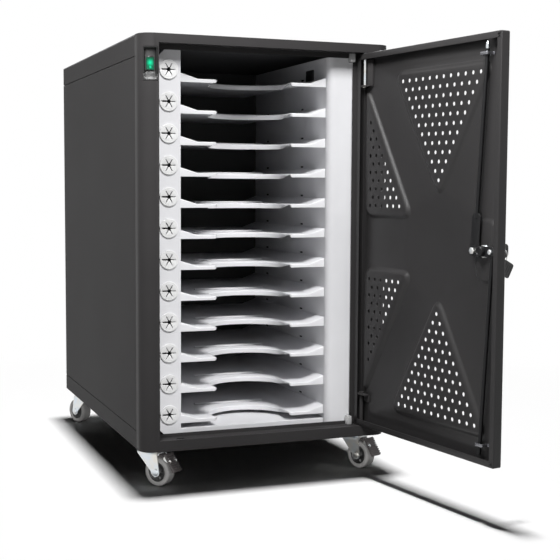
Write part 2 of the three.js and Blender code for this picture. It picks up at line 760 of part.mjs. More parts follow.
function sideCorners(sign) {
  const x = HINGE_EDGE - SIDE_FROM_HINGE_EDGE + SIDE_MARGIN;
  const wide = ((SIDE_ROWS - 1) / 2) * SIDE_PITCH + 3 * SIDE_MARGIN;
  const near = DOOR_MIDDLE + sign * (SIDE_TO_MIDDLE - SIDE_MARGIN);
  const far = near + sign * ((SIDE_ROWS - 1) * SIDE_ROW + 4 * SIDE_MARGIN);
  return [
    [x, near],
    [x - wide, near],
    [x, far],
  ];
}

// Draws the corners in towards their middle by a distance, as the pressed sheet's other face.
function drawnIn(corners, distance) {
  const middle = [0, 1].map((i) => corners.reduce((sum, corner) => sum + corner[i], 0) / corners.length);
  return corners.map((corner) => {
    const away = new THREE.Vector2(corner[0] - middle[0], corner[1] - middle[1]);
    away.setLength(away.length() - 2 * distance);
    return [middle[0] + away.x, middle[1] + away.y];
  });
}

function ventHoles() {
  const places = [];
  for (const sign of [-1, 1]) {
    for (let row = 0; row < PEAK_ROWS; row++) {
      const z = DOOR_MIDDLE + sign * (PEAK_TO_MIDDLE + row * PEAK_ROW);
      for (let i = 0; i <= row; i++) {
        places.push([FREE_EDGE + PEAK_FROM_FREE_EDGE + (i - row / 2) * PEAK_PITCH, z]);
      }
    }
    for (let row = 0; row < SIDE_ROWS; row++) {
      const z = DOOR_MIDDLE + sign * (SIDE_TO_MIDDLE + (SIDE_ROWS - 1 - row) * SIDE_ROW);
      for (let i = 0; i <= row / 2; i++) {
        places.push([HINGE_EDGE - SIDE_FROM_HINGE_EDGE - (row / 2 - i) * SIDE_PITCH, z]);
      }
    }
  }
  return places.map(([x, z]) =>
    cylinder("y", VENT_HOLE_RADIUS, SKIN - SHEET, SKIN + EMBOSS + 2 * SHEET, x, z, HOLE_SIDES),
  );
}

// A loop of strip welded to the skin, with the rod passing through it.
function rodGuide(sign) {
  const x = LOCK_X + sign * GUIDE_SHIFT;
  const z = sign > 0 ? DOOR_HIGH - GUIDE_FROM_END : DOOR_LOW + GUIDE_FROM_END;
  const top = SKIN + ROD_DEPTH + ROD_RADIUS + ROD_CLEARANCE;
  const half = GUIDE_OPENING / 2;
  return cut(
    box(
      [x - half - GUIDE_SHEET, SKIN + DOOR_SHEET / 2, z - GUIDE_LENGTH / 2],
      [x + half + GUIDE_SHEET, top + GUIDE_SHEET, z + GUIDE_LENGTH / 2],
    ),
    box([x - half, SKIN + DOOR_SHEET, z - GUIDE_LENGTH], [x + half, top, z + GUIDE_LENGTH]),
  );
}

function rodExit(sign) {
  const x = LOCK_X + sign * GUIDE_SHIFT;
  const z = sign > 0 ? DOOR_HIGH : DOOR_LOW;
  const y = SKIN + ROD_DEPTH;
  const half = GUIDE_OPENING / 2;
  const depth = ROD_RADIUS + ROD_CLEARANCE;
  return box([x - half, y - depth, z - 2 * DOOR_SHEET], [x + half, y + depth, z + 2 * DOOR_SHEET]);
}

// Hinge pin places along z: the end in the frame, and the ear that carries the other end.
function pinEnds(sign) {
  const end = sign > 0 ? OPEN_HIGH + HINGE_PIN_ENTRY : OPEN_LOW - HINGE_PIN_ENTRY;
  return [end, end - sign * HINGE_PIN_LENGTH];
}

function hingeEar(sign) {
  const [, inner] = pinEnds(sign);
  const ends = [inner + sign * HINGE_HEAD, inner + sign * (HINGE_HEAD + HINGE_EAR)].sort((a, b) => a - b);
  return cut(
    box(
      [-HINGE_EAR_REACH, SKIN + DOOR_SHEET / 2, ends[0]],
      [HINGE_EDGE - DOOR_SHEET / 2, HINGE_EAR_REACH, ends[1]],
    ),
    pinBore(sign),
  );
}

function pinBore(sign) {
  const ends = pinEnds(sign).sort((a, b) => a - b);
  return cylinder("z", HINGE_PIN_RADIUS + HINGE_CLEARANCE, ends[0], ends[1], 0, 0);
}

function makeHingePin(sign) {
  const [end, inner] = pinEnds(sign);
  const shank = [end, inner].sort((a, b) => a - b);
  const head = [inner, inner + sign * (HINGE_HEAD - FIT)].sort((a, b) => a - b);
  return join(
    cylinder("z", HINGE_PIN_RADIUS, shank[0], shank[1], 0, 0),
    cylinder("z", HINGE_HEAD_RADIUS, head[0], head[1], 0, 0),
  );
}

function dishCorners(inset) {
  const halfWidth = DISH_WIDTH / 2 - inset;
  const halfHeight = DISH_HEIGHT / 2 - inset;
  return rectangle(
    LOCK_X - halfWidth,
    LOCK_X + halfWidth,
    DOOR_MIDDLE - halfHeight,
    DOOR_MIDDLE + halfHeight,
  );
}

function makeDoorPanel() {
  const rim = SKIN + DOOR_THICKNESS;
  const pan = cut(
    doorBox(0, SKIN, rim),
    doorBox(DOOR_SHEET, SKIN + DOOR_SHEET, rim - DOOR_SHEET),
    doorBox(DOOR_LIP, rim - 2 * DOOR_SHEET, rim + DOOR_SHEET),
  );
  const triangles = [peakCorners(1), peakCorners(-1), sideCorners(1), sideCorners(-1)];
  const pads = triangles.map((corners) =>
    prismBack(roundedPolygon(corners, PAD_ROUND), SKIN + DOOR_SHEET / 2, SKIN + EMBOSS + DOOR_SHEET),
  );
  const hollows = triangles.map((corners) =>
    prismBack(roundedPolygon(drawnIn(corners, DOOR_SHEET), PAD_ROUND), SKIN - DOOR_SHEET, SKIN + EMBOSS),
  );
  const boss = prismBack(
    roundedPolygon(dishCorners(0), DISH_ROUND),
    SKIN + DOOR_SHEET / 2,
    SKIN + DISH_DEPTH + DOOR_SHEET,
  );
  const dish = prismBack(
    roundedPolygon(dishCorners(DOOR_SHEET), DISH_ROUND),
    SKIN - DOOR_SHEET,
    SKIN + DISH_DEPTH,
  );
  const barrelHole = cylinder(
    "y",
    BARREL_RADIUS + FIT,
    SKIN,
    SKIN + DISH_DEPTH + 2 * DOOR_SHEET,
    LOCK_X,
    DOOR_MIDDLE,
  );
  const dressed = join(pan, ...pads, boss, hingeEar(1), hingeEar(-1));
  return cut(
    join(cut(dressed, ...hollows, dish), rodGuide(1), rodGuide(-1)),
    hingeEdgeBevel(),
    barrelHole,
    rodExit(1),
    rodExit(-1),
    pinBore(1),
    pinBore(-1),
    ...ventHoles(),
  );
}

// Lock: the cam and its plug turn in the barrel, and carry the two rods on bolts.
const ROD_MIDDLE = SKIN + ROD_DEPTH;
const CAM_FRONT = ROD_MIDDLE + ROD_EYE / 2 + FIT;
const CAM_BACK = CAM_FRONT + CAM_THICKNESS;
const ROSETTE_BACK = SKIN + DISH_DEPTH - FIT;
const LOCK_FACE = ROSETTE_BACK - ROSETTE_THICKNESS;

function makeLockBarrel() {
  const rosette = cylinder("y", ROSETTE_RADIUS, LOCK_FACE, ROSETTE_BACK, LOCK_X, DOOR_MIDDLE);
  const barrel = cylinder("y", BARREL_RADIUS, LOCK_FACE, CAM_FRONT - FIT, LOCK_X, DOOR_MIDDLE);
  const bore = cylinder("y", BARREL_BORE, LOCK_FACE - SHEET, CAM_BACK, LOCK_X, DOOR_MIDDLE);
  return cut(join(rosette, barrel), bore);
}

// The key's blade, or with a clearance round it the keyway in the plug.
function keyBlade(clearance, front) {
  const halfThickness = KEY_BLADE_THICKNESS / 2 + clearance;
  const halfHeight = KEY_BLADE_HEIGHT / 2 + clearance;
  return box(
    [LOCK_X - halfThickness, front, DOOR_MIDDLE - halfHeight],
    [LOCK_X + halfThickness, LOCK_FACE + KEYWAY_DEPTH + clearance, DOOR_MIDDLE + halfHeight],
  );
}

function makeLockCam() {
  const ends = [-1, 1].map((sign) =>
    cylinder("y", CAM_HALF_WIDTH, CAM_FRONT, CAM_BACK, LOCK_X + sign * CAM_ARM, DOOR_MIDDLE),
  );
  const arm = box(
    [LOCK_X - CAM_ARM, CAM_FRONT, DOOR_MIDDLE - CAM_HALF_WIDTH],
    [LOCK_X + CAM_ARM, CAM_BACK, DOOR_MIDDLE + CAM_HALF_WIDTH],
  );
  const bolts = [-1, 1].flatMap((sign) => {
    const x = LOCK_X + sign * CAM_ARM;
    const front = ROD_MIDDLE - ROD_EYE / 2;
    return [
      cylinder("y", CAM_BOLT_RADIUS, front, CAM_BACK, x, DOOR_MIDDLE),
      cylinder("y", CAM_BOLT_HEAD_RADIUS, CAM_BACK, CAM_BACK + CAM_BOLT_HEAD, x, DOOR_MIDDLE, 6),
    ];
  });
  const plug = cylinder("y", BARREL_BORE - HINGE_CLEARANCE, LOCK_FACE, CAM_BACK, LOCK_X, DOOR_MIDDLE);
  const nut = cylinder(
    "y",
    CAM_HALF_WIDTH - SHEET,
    CAM_BACK,
    CAM_BACK + CAM_BOLT_HEAD,
    LOCK_X,
    DOOR_MIDDLE,
    6,
  );
  const keyway = keyBlade(KEYWAY_CLEARANCE, LOCK_FACE - SHEET);
  return cut(join(arm, ...ends, ...bolts, plug, nut), keyway);
}

// A rod hangs on its bolt at its own origin and reaches up (sign 1) or down (sign -1).
function makeRod(sign) {
  const tip = (DOOR_HIGH - ROD_END_SETBACK - DOOR_MIDDLE) / Math.cos(ROD_LEAN);
  const half = ROD_EYE / 2;
  const ends = [0, sign * tip].sort((a, b) => a - b);
  const eye = cylinder("y", ROD_EYE_RADIUS, -half, half, 0, 0);
  const shank = cylinder("z", ROD_RADIUS, ends[0], ends[1], 0, 0);
  const flat = sign > 0 ? ROD_TONGUE_HALF_WIDTH : ROD_EYE_RADIUS;
  const reach = sign > 0 ? ROD_TONGUE : 2 * ROD_EYE_RADIUS;
  const span = [0, sign * reach].sort((a, b) => a - b);
  const tongue = box([-flat, -half, span[0]], [flat, half, span[1]]);
  const clear = box(
    [-ROD_TONGUE_HALF_WIDTH, half, -2 * ROD_EYE_RADIUS],
    [ROD_TONGUE_HALF_WIDTH, half + 2 * ROD_RADIUS, 2 * ROD_EYE_RADIUS],
  );
  const hole = cylinder("y", CAM_BOLT_RADIUS + HINGE_CLEARANCE, -ROD_EYE, ROD_EYE, 0, 0);
  return cut(join(eye, shank, tongue), clear, hole);
}

function makeKey() {
  const neck = LOCK_FACE - KEY_NECK;
  const end = SKIN - KEY_REACH;
  const half = KEY_HEIGHT / 2;
  const chamfer = KEY_HEIGHT / 4;
  const blade = keyBlade(0, neck - SHEET);
  // The bow is an eight-sided plate in Y and Z, carried across X.
  const outline = polygon([
    [neck, -half + chamfer],
    [neck, half - chamfer],
    [neck - chamfer, half],
    [end + chamfer, half],
    [end, half - chamfer],
    [end, -half + chamfer],
    [end + chamfer, -half],
    [neck - chamfer, -half],
  ]);
  const bow = new THREE.ExtrudeGeometry(outline, { depth: KEY_THICKNESS, bevelEnabled: false });
  bow.applyMatrix4(new THREE.Matrix4().set(0, 0, 1, 0, 1, 0, 0, 0, 0, 1, 0, 0, 0, 0, 0, 1));
  bow.translate(LOCK_X - KEY_THICKNESS / 2, 0, DOOR_MIDDLE);
  const hole = cylinder(
    "x",
    KEY_HOLE_RADIUS,
    LOCK_X - KEY_THICKNESS,
    LOCK_X + KEY_THICKNESS,
    end + 2 * KEY_HOLE_RADIUS,
    DOOR_MIDDLE,
  );
  return cut(join(blade, solid(bow)), hole);
}

// Casters: each is modelled with its swivel axis at its own origin and its trail along X.
const PLATE_LOW = CASTER_HEIGHT - PLATE_THICKNESS;
const HEAD_HIGH = PLATE_LOW - FIT;
const HEAD_LOW = HEAD_HIGH - FORK_HEAD;
const FORK_INSIDE = WHEEL_WIDTH / 2 + FORK_CLEARANCE;
const PEDAL_AWAY = WHEEL_RADIUS + PEDAL_FROM_TYRE;

function makeCasterPlate() {
  const half = PLATE_SIZE / 2;
  const outline = roundedPolygon(rectangle(-half, half, -half, half), half / 4);
  return prismUp(outline, PLATE_LOW, CASTER_HEIGHT - FIT);
}

function makeFork() {
  const head = cylinder("z", FORK_HEAD_RADIUS, HEAD_LOW, HEAD_HIGH, 0, 0);
  const eye = AXLE_HEAD_RADIUS + FORK_PLATE;
  const cheek = polygon([
    [-FORK_HEAD_RADIUS / 2, HEAD_LOW + FORK_PLATE],
    [TRAIL - eye, WHEEL_RADIUS],
    [TRAIL - eye / 2, WHEEL_RADIUS - eye],
    [TRAIL + eye / 2, WHEEL_RADIUS - eye],
    [TRAIL + eye, WHEEL_RADIUS],
    [FORK_HEAD_RADIUS / 2 + FORK_PLATE, HEAD_LOW + FORK_PLATE],
  ]);
  const cheeks = [-FORK_INSIDE - FORK_PLATE, FORK_INSIDE].map((y) => prismBack(cheek, y, y + FORK_PLATE));
  const outside = FORK_INSIDE + FORK_PLATE;
  const axle = cylinder("y", AXLE_RADIUS, -outside, outside, TRAIL, WHEEL_RADIUS);
  const rivets = [-1, 1].map((sign) => {
    const ends = [sign * outside, sign * (outside + AXLE_HEAD)].sort((a, b) => a - b);
    return cylinder("y", AXLE_HEAD_RADIUS, ends[0], ends[1], TRAIL, WHEEL_RADIUS);
  });
  return join(head, ...cheeks, axle, ...rivets);
}

function makeWheel() {
  const half = WHEEL_WIDTH / 2;
  const bore = AXLE_RADIUS + AXLE_CLEARANCE;
  const shoulder = WHEEL_WIDTH / 6;
  const profile = [
    [bore, -half],
    [WHEEL_RADIUS - shoulder, -half],
    [WHEEL_RADIUS, -half + shoulder],
    [WHEEL_RADIUS, half - shoulder],
    [WHEEL_RADIUS - shoulder, half],
    [bore, half],
    [bore, -half],
  ].map(([radius, along]) => new THREE.Vector2(radius, along));
  const turned = new THREE.LatheGeometry(profile, WHEEL_SIDES);
  return solid(turned.translate(TRAIL, 0, WHEEL_RADIUS));
}

// The brake pedal lies along a line tangent to the tyre, drawn level and then turned about the axle.
function makePedal() {
  const half = FORK_INSIDE - FORK_CLEARANCE;
  const low = PEDAL_AWAY;
  const high = low + PEDAL_THICKNESS;
  const plate = box([-PEDAL_LENGTH / 4, -half, low], [(PEDAL_LENGTH * 3) / 4, half, high]);
  const ribs = [];
  for (let i = 0; i < PEDAL_RIBS; i++) {
    const x = (PEDAL_LENGTH * 3) / 4 - (2 * i + 1) * 2 * PEDAL_RIB;
    ribs.push(box([x - PEDAL_RIB, -half, high - PEDAL_RIB], [x, half, high + PEDAL_RIB]));
  }
  return join(plate, ...ribs);
}

// Assembly
piece(cart, "front_frame", makeFrontFrame(), charcoal);
piece(cart, "left_side_panel", makeSidePanel(-1), charcoal);
piece(cart, "right_side_panel", makeSidePanel(1), charcoal);
piece(cart, "top_cover", makeTopCover(), charcoal);
piece(cart, "base_pan", makeBasePan(), charcoal);
piece(cart, "rear_panel", makeRearPanel(), charcoal);
piece(cart, "power_inlet", makeInlet(), black);
piece(cart, "rear_divider", makeRearDivider(), black);
piece(cart, "power_strip", makePowerStrip(), black);
piece(cart, "left_inner_wall", makeLeftWall(), white);
piece(cart, "right_inner_wall", makeRightWall(), white);
piece(cart, "bay_floor", makeBayFloor(), white);
for (let bay = 0; bay < BAY_COUNT; bay++) {
  const number = String(BAY_COUNT - bay).padStart(2, "0");
  piece(cart, "shelf_" + number, makeShelf(bay), white);
  piece(cart, "cable_grommet_" + number, makeGrommet(bay), whitePlastic);
}
piece(cart, "switch_bezel", makeSwitchBezel(), black);
piece(cart, "power_rocker", makeRocker(), greenPlastic);

const door = new THREE.Group();
door.position.set(PIVOT_X, PIVOT_Y, 0);
door.rotation.z = THREE.MathUtils.degToRad(DOOR_OPEN);
cart.add(door);
piece(door, "door_panel", makeDoorPanel(), charcoal);
piece(door, "upper_hinge_pin", makeHingePin(1), zinc);
piece(door, "lower_hinge_pin", makeHingePin(-1), zinc);
piece(door, "lock_barrel", makeLockBarrel(), zinc);
piece(door, "lock_cam", makeLockCam(), darkSteel);
piece(door, "key", makeKey(), black);
for (const [name, sign] of [
  ["upper_lock_rod", 1],
  ["lower_lock_rod", -1],
]) {
  const rod = new THREE.Group();
  rod.position.set(LOCK_X + sign * CAM_ARM, ROD_MIDDLE, DOOR_MIDDLE);
  rod.rotation.y = -ROD_LEAN;
  door.add(rod);
  piece(rod, name, makeRod(sign), darkSteel);
}

// Trail directions at rest, as angles from +X towards +Y.
const CASTERS = [
  ["front_left", -1, -1, -52.3],
  ["front_right", 1, -1, -67],
  ["rear_left", -1, 1, 116.8],
  ["rear_right", 1, 1, 60],
];
for (const [name, sideSign, endSign, turn] of CASTERS) {
  const caster = new THREE.Group();
  const y = endSign < 0 ? FRONT + CASTER_FROM_FRONT : BACK - CASTER_FROM_BACK;
  caster.position.set(sideSign * (SIDE - CASTER_FROM_SIDE), y, 0);
  cart.add(caster);
  piece(caster, name + "_caster_plate", makeCasterPlate(), zinc);
  const swivel = new THREE.Group();
  swivel.rotation.z = THREE.MathUtils.degToRad(turn);
  caster.add(swivel);
  piece(swivel, name + "_caster_fork", makeFork(), zinc);
  piece(swivel, name + "_caster_wheel", makeWheel(), tyreGrey);
  if (endSign < 0) {
    const brake = new THREE.Group();
    brake.position.set(TRAIL, 0, WHEEL_RADIUS);
    brake.rotation.y = THREE.MathUtils.degToRad(PEDAL_SLOPE);
    swivel.add(brake);
    piece(brake, name + "_brake_pedal", makePedal(), pedalGrey);
  }
}

export default cart;
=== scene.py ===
"""Looks of a laptop charging cart: a steel cabinet on casters with twelve shelves and an open vented door.

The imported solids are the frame, in metres. Shapes below are worked out in millimetres on numpy grids and
scaled once, when they become a mesh.
"""

import json
import math
from functools import partialmethod

import bmesh
import bpy
import numpy as np
from bpy.props import FloatProperty, FloatVectorProperty, IntProperty, PointerProperty
from mathutils import Matrix, Vector, geometry


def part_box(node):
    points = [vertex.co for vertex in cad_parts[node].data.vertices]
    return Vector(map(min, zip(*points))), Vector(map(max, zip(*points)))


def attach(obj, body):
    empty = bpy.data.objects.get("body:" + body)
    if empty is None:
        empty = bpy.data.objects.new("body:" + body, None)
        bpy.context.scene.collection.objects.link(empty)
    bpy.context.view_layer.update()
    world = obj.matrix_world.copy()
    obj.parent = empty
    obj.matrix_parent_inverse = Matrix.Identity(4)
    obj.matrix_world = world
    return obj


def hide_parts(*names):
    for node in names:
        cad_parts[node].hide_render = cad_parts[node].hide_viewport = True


bl_info = {
    "name": "Laptop Charging Cart",
    "version": (1, 0, 0),
    "blender": (4, 5, 0),
    "location": "View3D > Sidebar > Cart",
    "description": "Dresses the solids of a laptop charging cart with shapes and finishes",
    "category": "Object",
}

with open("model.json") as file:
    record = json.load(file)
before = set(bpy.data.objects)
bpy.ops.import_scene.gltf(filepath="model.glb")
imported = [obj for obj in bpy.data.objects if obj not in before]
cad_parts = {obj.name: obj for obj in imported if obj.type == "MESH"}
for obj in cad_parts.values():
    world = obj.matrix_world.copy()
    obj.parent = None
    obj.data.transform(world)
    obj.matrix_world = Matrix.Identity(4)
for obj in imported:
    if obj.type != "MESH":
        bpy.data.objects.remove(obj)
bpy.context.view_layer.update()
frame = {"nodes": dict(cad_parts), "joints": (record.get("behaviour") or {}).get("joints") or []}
JOINTS = {joint["name"]: joint for joint in frame["joints"]}
MM = 0.001

# Places taken from the frame, in millimetres
PIVOT = np.array(JOINTS["door_swing"]["pos_m"]) / MM
DOOR_OPEN = math.radians(-JOINTS["door_swing"]["range_deg"][0])
DOOR_MIDDLE = PIVOT[2]
CASTERS = ("front_left", "front_right", "rear_left", "rear_right")
BAYS = range(1, 13)

# The door in its own frame: shut, with the pivot at the origin and y towards the cabinet
SKIN, DOOR_DEPTH = -8.0, 16.0
HINGE_EDGE, FREE_EDGE, DOOR_HALF = 13.0, -371.0, 326.75
LOCK_X, CAM_ARM, ROD_DEPTH = -332.0, 21.0, 2.4
GUIDE_X, GUIDE_Z = 2.4, DOOR_HALF - 30
ROD_LEAN = math.atan2(CAM_ARM, GUIDE_Z)
# Vent holes in the middle and beside the hinge: the place they start from, their rows and their pitches
PEAK, PEAK_ROWS, PEAK_PITCH = (HINGE_EDGE - 226.5, 107.5), 12, (18.3, 14.9)
WING, WING_ROWS, WING_PITCH = (HINGE_EDGE - 34, 64.0), 11, (17.4, 14.3)

# A caster that trails along x from its stem
AXLE_X, AXLE_Z = 20.0, 25.0
AXLE = (AXLE_X, 0.0, AXLE_Z)
CHEEK, CROWN, FORK_FOOT = 14.0, 58.5, 16.5

# The rounded left column with its switch, and the cover
COLUMN_X, COLUMN_Y, COLUMN_ROUND = -200.0, -330.0, 25.0
SWITCH_Z, SWITCH_HALF, SWITCH_REACH, SWITCH_DEPTH = 711.0, 10.9, 26.9, 8.6
COVER_UNDERSIDE = 758.5


def node_box(node):
    """A node's lowest and highest corners in millimetres."""
    return [np.array(corner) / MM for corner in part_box(node)]


def swung(points, centre, c, s):
    """Points turned about the upright line through a centre, by the angle whose cosine is c and sine is s."""
    x, y, z = np.moveaxis(np.asarray(points, float), -1, 0)
    return np.stack([centre[0] + c * x - s * y, centre[1] + s * x + c * y, z], -1)


def on_door(points):
    """Points of the shut door, swung open about the pivot."""
    return swung(points, PIVOT, math.cos(DOOR_OPEN), math.sin(DOOR_OPEN))


def at_lock(points):
    """Points round the lock's axis, on the open door."""
    return on_door(np.asarray(points) + [LOCK_X, 0, DOOR_MIDDLE])


def on_caster(name):
    """A function that puts points of a caster, trailing along x from its stem, where the named caster stands."""
    stem = np.array(JOINTS[name + "_swivel"]["pos_m"]) / MM
    across = JOINTS[name + "_spin"]["axis"]
    return lambda points: swung(points, stem, across[1], -across[0])


# Shapes
def unit(vectors):
    return vectors / np.maximum(np.linalg.norm(vectors, axis=1, keepdims=True), 1e-9)


def pairs(a, b):
    return np.stack(np.broadcast_arrays(a, b), -1)


def rounded(points, radius, steps=5, closed=False):
    """A polyline whose corners are parabolas: (1-t)^2 a + 2t(1-t) p + t^2 b between the points a and b that lie
    radius before and after each corner p."""
    points = np.asarray(points, float)
    runs = np.roll(points, 1, 0) - points, np.roll(points, -1, 0) - points
    reach = np.minimum(radius, 0.49 * np.minimum(*(np.linalg.norm(run, axis=1) for run in runs)))
    start, end = (points + unit(run) * reach[:, None] for run in runs)
    t = np.linspace(0, 1, steps + 1)[None, :, None]
    curves = (1 - t) ** 2 * start[:, None] + 2 * t * (1 - t) * points[:, None] + t**2 * end[:, None]
    if closed:
        return curves.reshape(-1, points.shape[1])
    inner = curves[1:-1].reshape(-1, points.shape[1])
    return np.concatenate([points[:1], inner, points[-1:]])


def drawn_in(outline, distance):
    """A counter-clockwise outline moved inwards by a distance, along the mean of each corner's two normals."""
    ahead = unit(np.roll(outline, -1, 0) - outline)
    normal = pairs(-ahead[:, 1], ahead[:, 0])
    mean = unit(normal + np.roll(normal, 1, 0))
    miter = 1 / np.maximum((mean * normal).sum(1, keepdims=True), 0.2)
    return outline + mean * miter * distance


def rectangle(x0, x1, y0, y1):
    return np.array([[x0, y0], [x1, y0], [x1, y1], [x0, y1]], float)


def round_box(x0, x1, y0, y1, radius, steps):
    return rounded(rectangle(x0, x1, y0, y1), radius, steps, True)


def circle(radius, sides, centre=(0.0, 0.0)):
    turn = np.arange(sides) * 2 * np.pi / sides
    return pairs(centre[0] + radius * np.cos(turn), centre[1] + radius * np.sin(turn))


def spread(flat, along, axis):
    """Points from two coordinates and a third one along the named axis."""
    a, b = flat[..., 0], flat[..., 1]
    along = np.broadcast_to(along, a.shape)
    return np.stack({"x": (along, a, b), "y": (a, along, b), "z": (a, b, along)}[axis], -1)


class Shape:
    """Points and faces gathered from several grids, in millimetres."""

    def __init__(self):
        self.points, self.faces, self.count = [], [], 0

    def add(self, points, faces):
        points = np.asarray(points, float).reshape(-1, 3)
        self.faces += [[int(i) + self.count for i in face] for face in faces]
        self.points.append(points)
        self.count += len(points)
        return self

    def grid(self, points, wrap=(False, False), keep=None):
        """A grid of rows and columns, closed on itself where wrap says so. keep masks the faces that are made."""
        points = np.asarray(points, float)
        rows, columns = points.shape[:2]
        index = np.arange(rows * columns).reshape(rows, columns)
        if wrap[0]:
            index = np.concatenate([index, index[:1]])
        if wrap[1]:
            index = np.concatenate([index, index[:, :1]], 1)
        faces = np.stack([index[:-1, :-1], index[:-1, 1:], index[1:, 1:], index[1:, :-1]], -1)
        faces = faces.reshape(-1, 4) if keep is None else faces[keep]
        return self.add(points, faces)

    def capped(self, loops):
        """Loops joined into a wall, with the first and the last one filled."""
        self.grid(loops, (False, True))
        for loop in (loops[0], loops[-1]):
            self.add(loop, [range(len(loop))])
        return self

    def slab(self, outline, low, high, axis, ease=0.4, steps=3):
        """An outline carried from low to high along an axis. Its edges are quarter rounds: rows drawn in by
        e(1 - sin t) at a depth of e(1 - cos t)."""
        t = np.linspace(0, np.pi / 2, steps + 1)
        inset, rise = ease * (1 - np.sin(t)), ease * (1 - np.cos(t))
        rows = [*zip(inset, low + rise), *zip(inset[::-1], high - rise[::-1])]
        return self.capped(np.stack([spread(drawn_in(outline, i), along, axis) for i, along in rows]))

    def box(self, low, high, ease=0.6):
        """A box with rounded edges, as a slab along z."""
        return self.slab(round_box(low[0], high[0], low[1], high[1], ease, 3), low[2], high[2], "z", ease)

    def plate(self, outline, hole, low, high, axis):
        """A flat outline with a hole through it, from low to high along an axis."""
        flat, faces = filled(
            [outline, hole], lambda p: (distance_inside(p, outline) > 0) & (distance_inside(p, hole) < 0)
        )
        for along in (low, high):
            self.add(spread(flat, along, axis), faces)
        for loop in (outline, hole):
            self.grid(np.stack([spread(loop, along, axis) for along in (low, high)]), (False, True))
        return self

    def lathe(self, profile, axis, sides, centre=(0.0, 0.0, 0.0)):
        """A profile of radius and height turned about an axis through the centre."""
        profile = np.asarray(profile, float)
        flat = profile[:, None, :1] * circle(1, sides)
        return self.grid(spread(flat, profile[:, 1:2], axis) + np.asarray(centre), (False, True))

    def tube(self, path, radius, sides, reference, closed=False):
        """A circle carried along a path. Its frame is the tangent's cross products with a reference direction."""
        path = np.asarray(path, float)
        ahead = unit(np.roll(path, -1, 0) - np.roll(path, 1, 0) if closed else np.gradient(path, axis=0))
        side = unit(np.cross(ahead, reference))
        up = np.cross(side, ahead)
        ring = circle(1, sides)
        radius = np.broadcast_to(radius, len(path))[:, None, None]
        rows = path[:, None] + radius * (ring[None, :, :1] * side[:, None] + ring[None, :, 1:] * up[:, None])
        return self.grid(rows, (True, True)) if closed else self.capped(rows)

    def moved(self, place):
        self.points = [place(points) for points in self.points]
        return self


def filled(loops, inside):
    """Triangles between constraint loops in a plane, kept where inside says so of their middles."""
    points, edges = [], []
    for loop in loops:
        first, count = len(points), len(loop)
        edges += [(first + i, first + (i + 1) % count) for i in range(count)]
        points += [Vector(p) for p in loop]
    made = geometry.delaunay_2d_cdt(points, edges, [], 0, 1e-4)
    flat, triangles = np.array([list(p) for p in made[0]]), np.array(made[2])
    return flat, triangles[inside(flat[triangles].mean(1))]


def distance_inside(points, outline):
    """Signed distance from points to a closed outline, positive inside."""
    start, end = outline, np.roll(outline, -1, 0)
    along = end - start
    to = points[:, None] - start[None]
    share = np.clip((to * along).sum(-1) / np.maximum((along**2).sum(-1), 1e-12), 0, 1)
    away = np.linalg.norm(to - share[..., None] * along, axis=-1).min(1)
    above = start[None, :, 1] > points[:, None, 1]
    crossing = above != (end[None, :, 1] > points[:, None, 1])
    rise = np.where(np.abs(along[:, 1]) < 1e-12, 1e-12, along[:, 1])
    at = start[None, :, 0] + (points[:, None, 1] - start[None, :, 1]) * along[None, :, 0] / rise
    odd = (crossing & (points[:, None, 0] < at)).sum(1) % 2 == 1
    return np.where(odd, away, -away)


def smooth(t):
    t = np.clip(t, 0, 1)
    return t * t * (3 - 2 * t)


def new_mesh(name, shape):
    mesh = bpy.data.meshes.new(name)
    mesh.from_pydata((np.concatenate(shape.points) * MM).tolist(), [], shape.faces)
    return mesh


def new_object(name, data):
    obj = bpy.data.objects.new(name, data)
    bpy.context.scene.collection.objects.link(obj)
    return obj


def welded(name, mesh, work):
    """An object whose mesh has its double points merged and then some work done on its faces."""
    solid = bmesh.new()
    solid.from_mesh(mesh)
    bmesh.ops.remove_doubles(solid, verts=solid.verts, dist=2e-6)
    work(solid)
    solid.to_mesh(mesh)
    solid.free()
    return new_object(name, mesh)


def settle(obj, bevel, crease):
    """Rounds the edges, applies the modifiers and shades smooth. Edges sharper than crease degrees stay sharp."""
    if bevel:
        ease = obj.modifiers.new("Ease", "BEVEL")
        ease.width, ease.segments, ease.limit_method = bevel * MM, 2, "ANGLE"
        ease.angle_limit = math.radians(40)
        ease.miter_outer = "MITER_ARC"
    graph = bpy.context.evaluated_depsgraph_get()
    mesh = bpy.data.meshes.new_from_object(obj.evaluated_get(graph))
    mesh.name = obj.name
    obj.modifiers.clear()
    obj.data = mesh
    mesh.shade_smooth()
    mesh.set_sharp_from_angle(angle=math.radians(crease))
    return obj


def dress(obj, body, coat, replaces=(), slot=None):
    """Gives a piece its finish and its body, and hides the nodes that it stands for."""
    obj.data.materials.clear()
    obj.data.materials.append(finishes()[coat])
    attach(obj, body)
    slot or SLOTS[coat]
    if replaces:
        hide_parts(*replaces)
    return obj


def piece(name, shape, body, coat, replaces=(), slot=None, sheet=0.0, bevel=0.0, flip=False, crease=40.0):
    """A new piece on a body. A sheet gets its thickness on the side that its faces point away from."""

    def work(solid):
        bmesh.ops.dissolve_degenerate(solid, edges=solid.edges, dist=1e-6)
        if not sheet:
            bmesh.ops.recalc_face_normals(solid, faces=solid.faces)
        elif flip:
            bmesh.ops.reverse_faces(solid, faces=solid.faces)

    obj = welded(name, new_mesh(name, shape), work)
    if sheet:
        wall = obj.modifiers.new("Sheet", "SOLIDIFY")
        wall.thickness, wall.offset, wall.use_even_offset = sheet * MM, -1, True
    return dress(settle(obj, bevel, crease), body, coat, replaces, slot)


